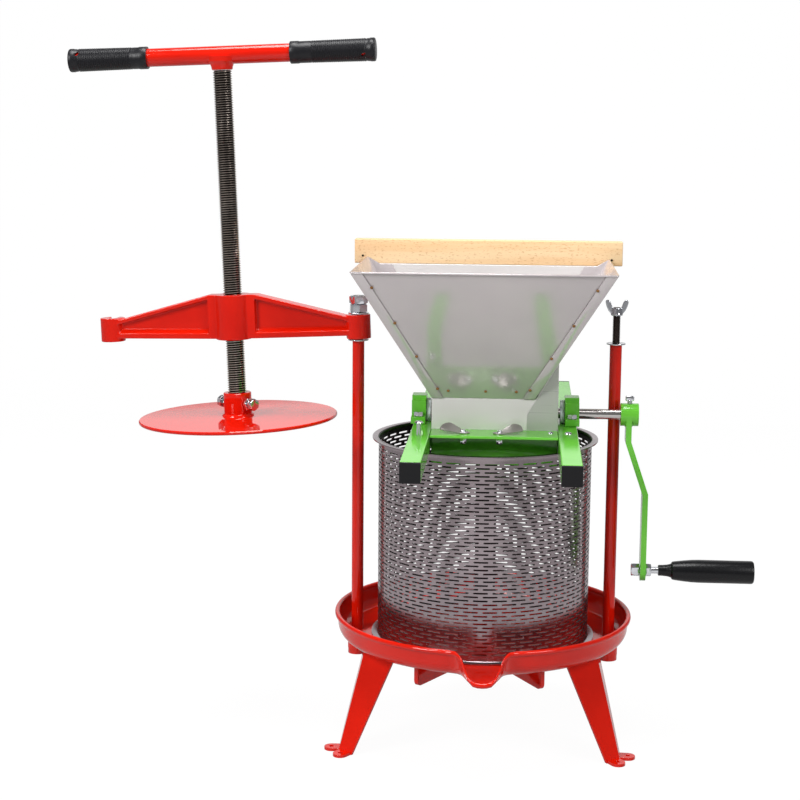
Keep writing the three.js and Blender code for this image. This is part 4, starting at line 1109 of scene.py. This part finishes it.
# %% Thumb screw in the hub
neck = thread("neck", 3, 0.4, 1.0, 6.4, 17.4, 0.4, 20)
flat = ease(bar("flat", -5, 5, -1.5, 1.5, 16, 22), 1.3, 3)
thumb_screw = gather("thumb_screw", neck, flat)
settle(thumb_screw, mill_place @ shift(154.6, shaft_y, shaft_z), "hub_screw")
print("thumb screw", len(thumb_screw.data.polygons), "faces")

# %% Grip with its bolt
crank_throw = 184
grip_line = shaft_z - crank_throw
grip_bolt = gather("grip_bolt", hexagon("grip_bolt", 13, 161.3, 171.3), rod("shank", 4, 170.3, 284, 32))
grip_profile = [[4.4, 193], [5.7, 193], [6.3, 193.6], [6.4, 198], [6.9, 203.5], [8.0, 207.6], [9.6, 208.6],
                [10.5, 209.4], [11.0, 212], [12.2, 222], [13.1, 232], [13.4, 240], [13.4, 300.5],
                [13.0, 302.2], [11.8, 303.3], [8, 303.8], [3, 304]]
on_shaft(grip_bolt, "grip_bolt", line=grip_line)
on_shaft(nut("grip_nut", 13, 4.3, 178.3, 184.8), "grip_nut", line=grip_line)
on_shaft(turned("crank_grip", grip_profile), "crank_grip", line=grip_line, finish="crank_black")
print(len(finished), "pieces, with the crank")

# %% [markdown]
# ## Curled tongues on the front angle
# Two leaves of stainless sheet lie on the angle, each held by a screw at one end and curling up like
# a spoon toward the other. A leaf starts as a flat grid whose points are moved to their places.

# %% Tongues
def leaf_half_width(along):
    """Half the leaf's width at a share of its length, 0 at the screw's end and 1 at the round end."""
    swell = 4.5 + 5.5 * math.sin(min(along / 0.65, 1) * math.pi / 2)
    round_end = math.sqrt(max(1 - (max(along - 0.66, 0) / 0.35) ** 2, 0.02))
    round_foot = math.sqrt(max(1 - (max(0.14 - along, 0) / 0.15) ** 2, 0.02))
    return swell * round_end * round_foot

def leaf_rise(along):
    return 3.2 * math.sin(min(max(along - 0.2, 0) / 0.8, 1) * math.pi / 2) ** 1.5

def leaf_lean(along):
    """How much the far edge is lifted, so that the leaf shows its face like a spoon held upright."""
    return 0.34 * min(max(along - 0.1, 0) / 0.55, 1)

def tongue(side):
    length, stations, across = 33.0, 22, 8
    leaf = begin("tongue", bpy.ops.mesh.primitive_grid_add, x_subdivisions=stations,
                 y_subdivisions=across, size=1)
    for vertex in leaf.data.vertices:
        along = vertex.co.x + 0.5
        reach = vertex.co.y * 2
        half = leaf_half_width(along)
        lean = leaf_lean(along)
        hollow = 0.96 * (1 - reach ** 2) * along
        vertex.co = (side * (along * length - 7), reach * half * (1 - 0.35 * lean),
                     leaf_rise(along) + lean * half * (reach + 1) - hollow)
    if side < 0:
        leaf.data.flip_normals()
    apply_modifier(leaf, "SOLIDIFY", thickness=1.2, offset=1.0)
    ease(leaf, 0.3, 2, 40)
    screw_head = stand_up(hexagon("screw_head", 5.5, 0, 2.4), shift(0, 0, 1.4))
    ring = ease(turned("ring", [[2, 0], [3.8, 0], [3.8, 0.7], [2, 0.7]], 32, ring=True), 0.2, 1)
    below = hexagon("nut_below", 6.5, -11.8, -3.6)
    return gather("tongue", dress(leaf, "leaf_steel"), dress(stand_up(ring, shift(0, 0, 0.9)), "zinc"),
                  dress(screw_head, "zinc"), dress(below, "zinc"))

angle_top = 22.2
for side, node, x in ((-1, "deflector_left", -34.0), (1, "deflector_right", 6.0)):
    settle(tongue(side), mill_place @ shift(x, -106.5, angle_top), node)
print(len(finished), "pieces, with the tongues")

# %% [markdown]
# ## Wing nut
# A turned hub with two wings. The wings are cut from flat stock, welded to the hub, and the whole is
# remeshed and smoothed, because a real one is cast.

# %% Wing nut
hub = turned("wing_nut", [[6.6, 0], [6.8, 0.4], [6.8, 1.8], [6.2, 3], [5.7, 8.6], [5.2, 9]], 48)
wing = [[3.5, 1.6], [7, 2.2], [9.8, 5.6], [11.8, 10], [13.0, 14], [13.2, 16.6], [12.2, 18], [9.4, 18],
        [7.4, 15.6], [5.9, 11.6], [5.0, 9.2], [3.5, 8.8]]
for sign in (1, -1):
    weld(hub, bar_y("wing", [[sign * x, z] for x, z in wing], -1.7, 1.7))
cut(hub, rod("bore", 4.8, -1, 12, 32))
apply_modifier(hub, "REMESH", mode="VOXEL", voxel_size=0.35)
apply_modifier(hub, "SMOOTH", factor=0.5, iterations=4)
on_post(hub, "wing_nut", right_post, sharp=70)
print(len(finished), "of", len(frame["nodes"]), "nodes have their finished piece")

# %% [markdown]
# ## Light and paper
# A photographer's table in a dim room: a sheet of white paper runs under the machine and up behind
# it, one soft lamp hangs above and two stand beside the camera. The room is grey, so paint and steel
# get dark edges from it and bright ones from the lamps and the paper.

# %% Lamps and room
def lamp(name, place, aim, size, power):
    data = bpy.data.lights.new(name, "AREA")
    data.shape, data.size, data.size_y, data.energy = "RECTANGLE", size[0], size[1], power
    thing = new_object(name, data)
    away = (Vector(aim) - Vector(place)).to_track_quat("-Z", "Y").to_matrix().to_4x4()
    thing.matrix_world = Matrix.Translation(place) @ away

lamp("lamp_above", (-0.2, -0.2, 2.6), (0, 0, 0.3), (1.5, 0.8), 48)
lamp("lamp_left", (-2.2, -2.3, 2.2), (0, 0, 0.6), (1.1, 1.5), 84)
lamp("lamp_right", (2.3, -2.0, 2.0), (0, 0, 0.6), (1.1, 1.5), 46)

def mixed_output(tree, share, one, other, output):
    """Sends the output one shader or the other, by a share from 0 to 1."""
    mixer = tree.nodes.new("ShaderNodeMixShader")
    feed(tree, share, mixer.inputs["Fac"])
    tree.links.new(one.outputs[0], mixer.inputs[1])
    tree.links.new(other.outputs[0], mixer.inputs[2])
    tree.links.new(mixer.outputs[0], tree.nodes[output].inputs["Surface"])

room = bpy.data.worlds.new("room")
bpy.context.scene.world = room
room.use_nodes = True
dim = room.node_tree.nodes["Background"]
dim.inputs["Color"].default_value = (1, 1, 1, 1)
dim.inputs["Strength"].default_value = 0.17
pale = room.node_tree.nodes.new("ShaderNodeBackground")
pale.inputs["Strength"].default_value = 0.9
sight = room.node_tree.nodes.new("ShaderNodeLightPath")
seen_directly = Field(room.node_tree, sight.outputs["Is Camera Ray"])
mixed_output(room.node_tree, seen_directly, dim, pale, "World Output")
print("room at", round(dim.inputs["Strength"].default_value, 2))

# %% Paper sweep
def glowing(name, base, share, strength, mirrored):
    """A matt surface that the camera sees as bright, and mirrors as the share mirrored of that."""
    paper = Finish(name, (base, base, base, 1), roughness=0.9)
    path = paper.tree.nodes.new("ShaderNodeLightPath")
    camera_ray, glossy_ray, transmission_ray = (Field(paper.tree, path.outputs[ray]) for ray in (
        "Is Camera Ray", "Is Glossy Ray", "Is Transmission Ray"))
    seen = camera_ray + (glossy_ray + transmission_ray) * mirrored
    glow = paper.tree.nodes.new("ShaderNodeEmission")
    glow.inputs["Strength"].default_value = strength
    mixed_output(paper.tree, seen * share, paper.shader, glow, "Material Output")
    return name

front_edge, bend_start, bend, paper_top, paper_half = -0.75, 2.2, 0.8, 3.4, 1.45

def paper_strip(name, side_line, mirrored, left=-paper_half, width=2 * paper_half):
    """A strip of the sweep: its side line pulled across the table."""
    strip = drag_point(name, side_line)
    extrude((width, 0, 0))
    stand_up(done(strip), shift(left, 0, 0))
    for face in strip.data.polygons:
        face.use_smooth = True
    return dress(strip, glowing(name, 0.4, 0.88, 1.1, mirrored))

low = -0.0005
table_paper = paper_strip("table_paper", [(0, front_edge, low), (0, bend_start, low)], 0.42)
rising = [(0, bend_start + bend * math.sin(angle), low + bend - bend * math.cos(angle))
          for angle in (math.radians(degrees) for degrees in range(0, 91, 10))]
bend_paper = paper_strip("bend_paper", rising, 0.4)
back_paper = paper_strip("back_paper", [rising[-1], (0, bend_start + bend, paper_top)], 0.84)
front_paper = paper_strip("front_paper", [(0, -3.3, low), (0, front_edge, low)], 0.7, -0.42, 1.0)
ground = begin("ground", bpy.ops.mesh.primitive_plane_add, size=30, location=(0, 0, -0.004))
dress(ground, glowing("ground_grey", 0.2, 0.8, 0.75, 0.45))
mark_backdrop(table_paper, bend_paper, back_paper, front_paper, ground)

bpy.context.scene.view_settings.view_transform = "Standard"
print("paper", len(bend_paper.data.polygons), "faces in the bend")

# %% Sizes, and the end
new_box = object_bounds()
for name, box in (("cad", cad_box), ("visual", new_box)):
    print(name, [[round(v, 4) for v in corner_point] for corner_point in box])
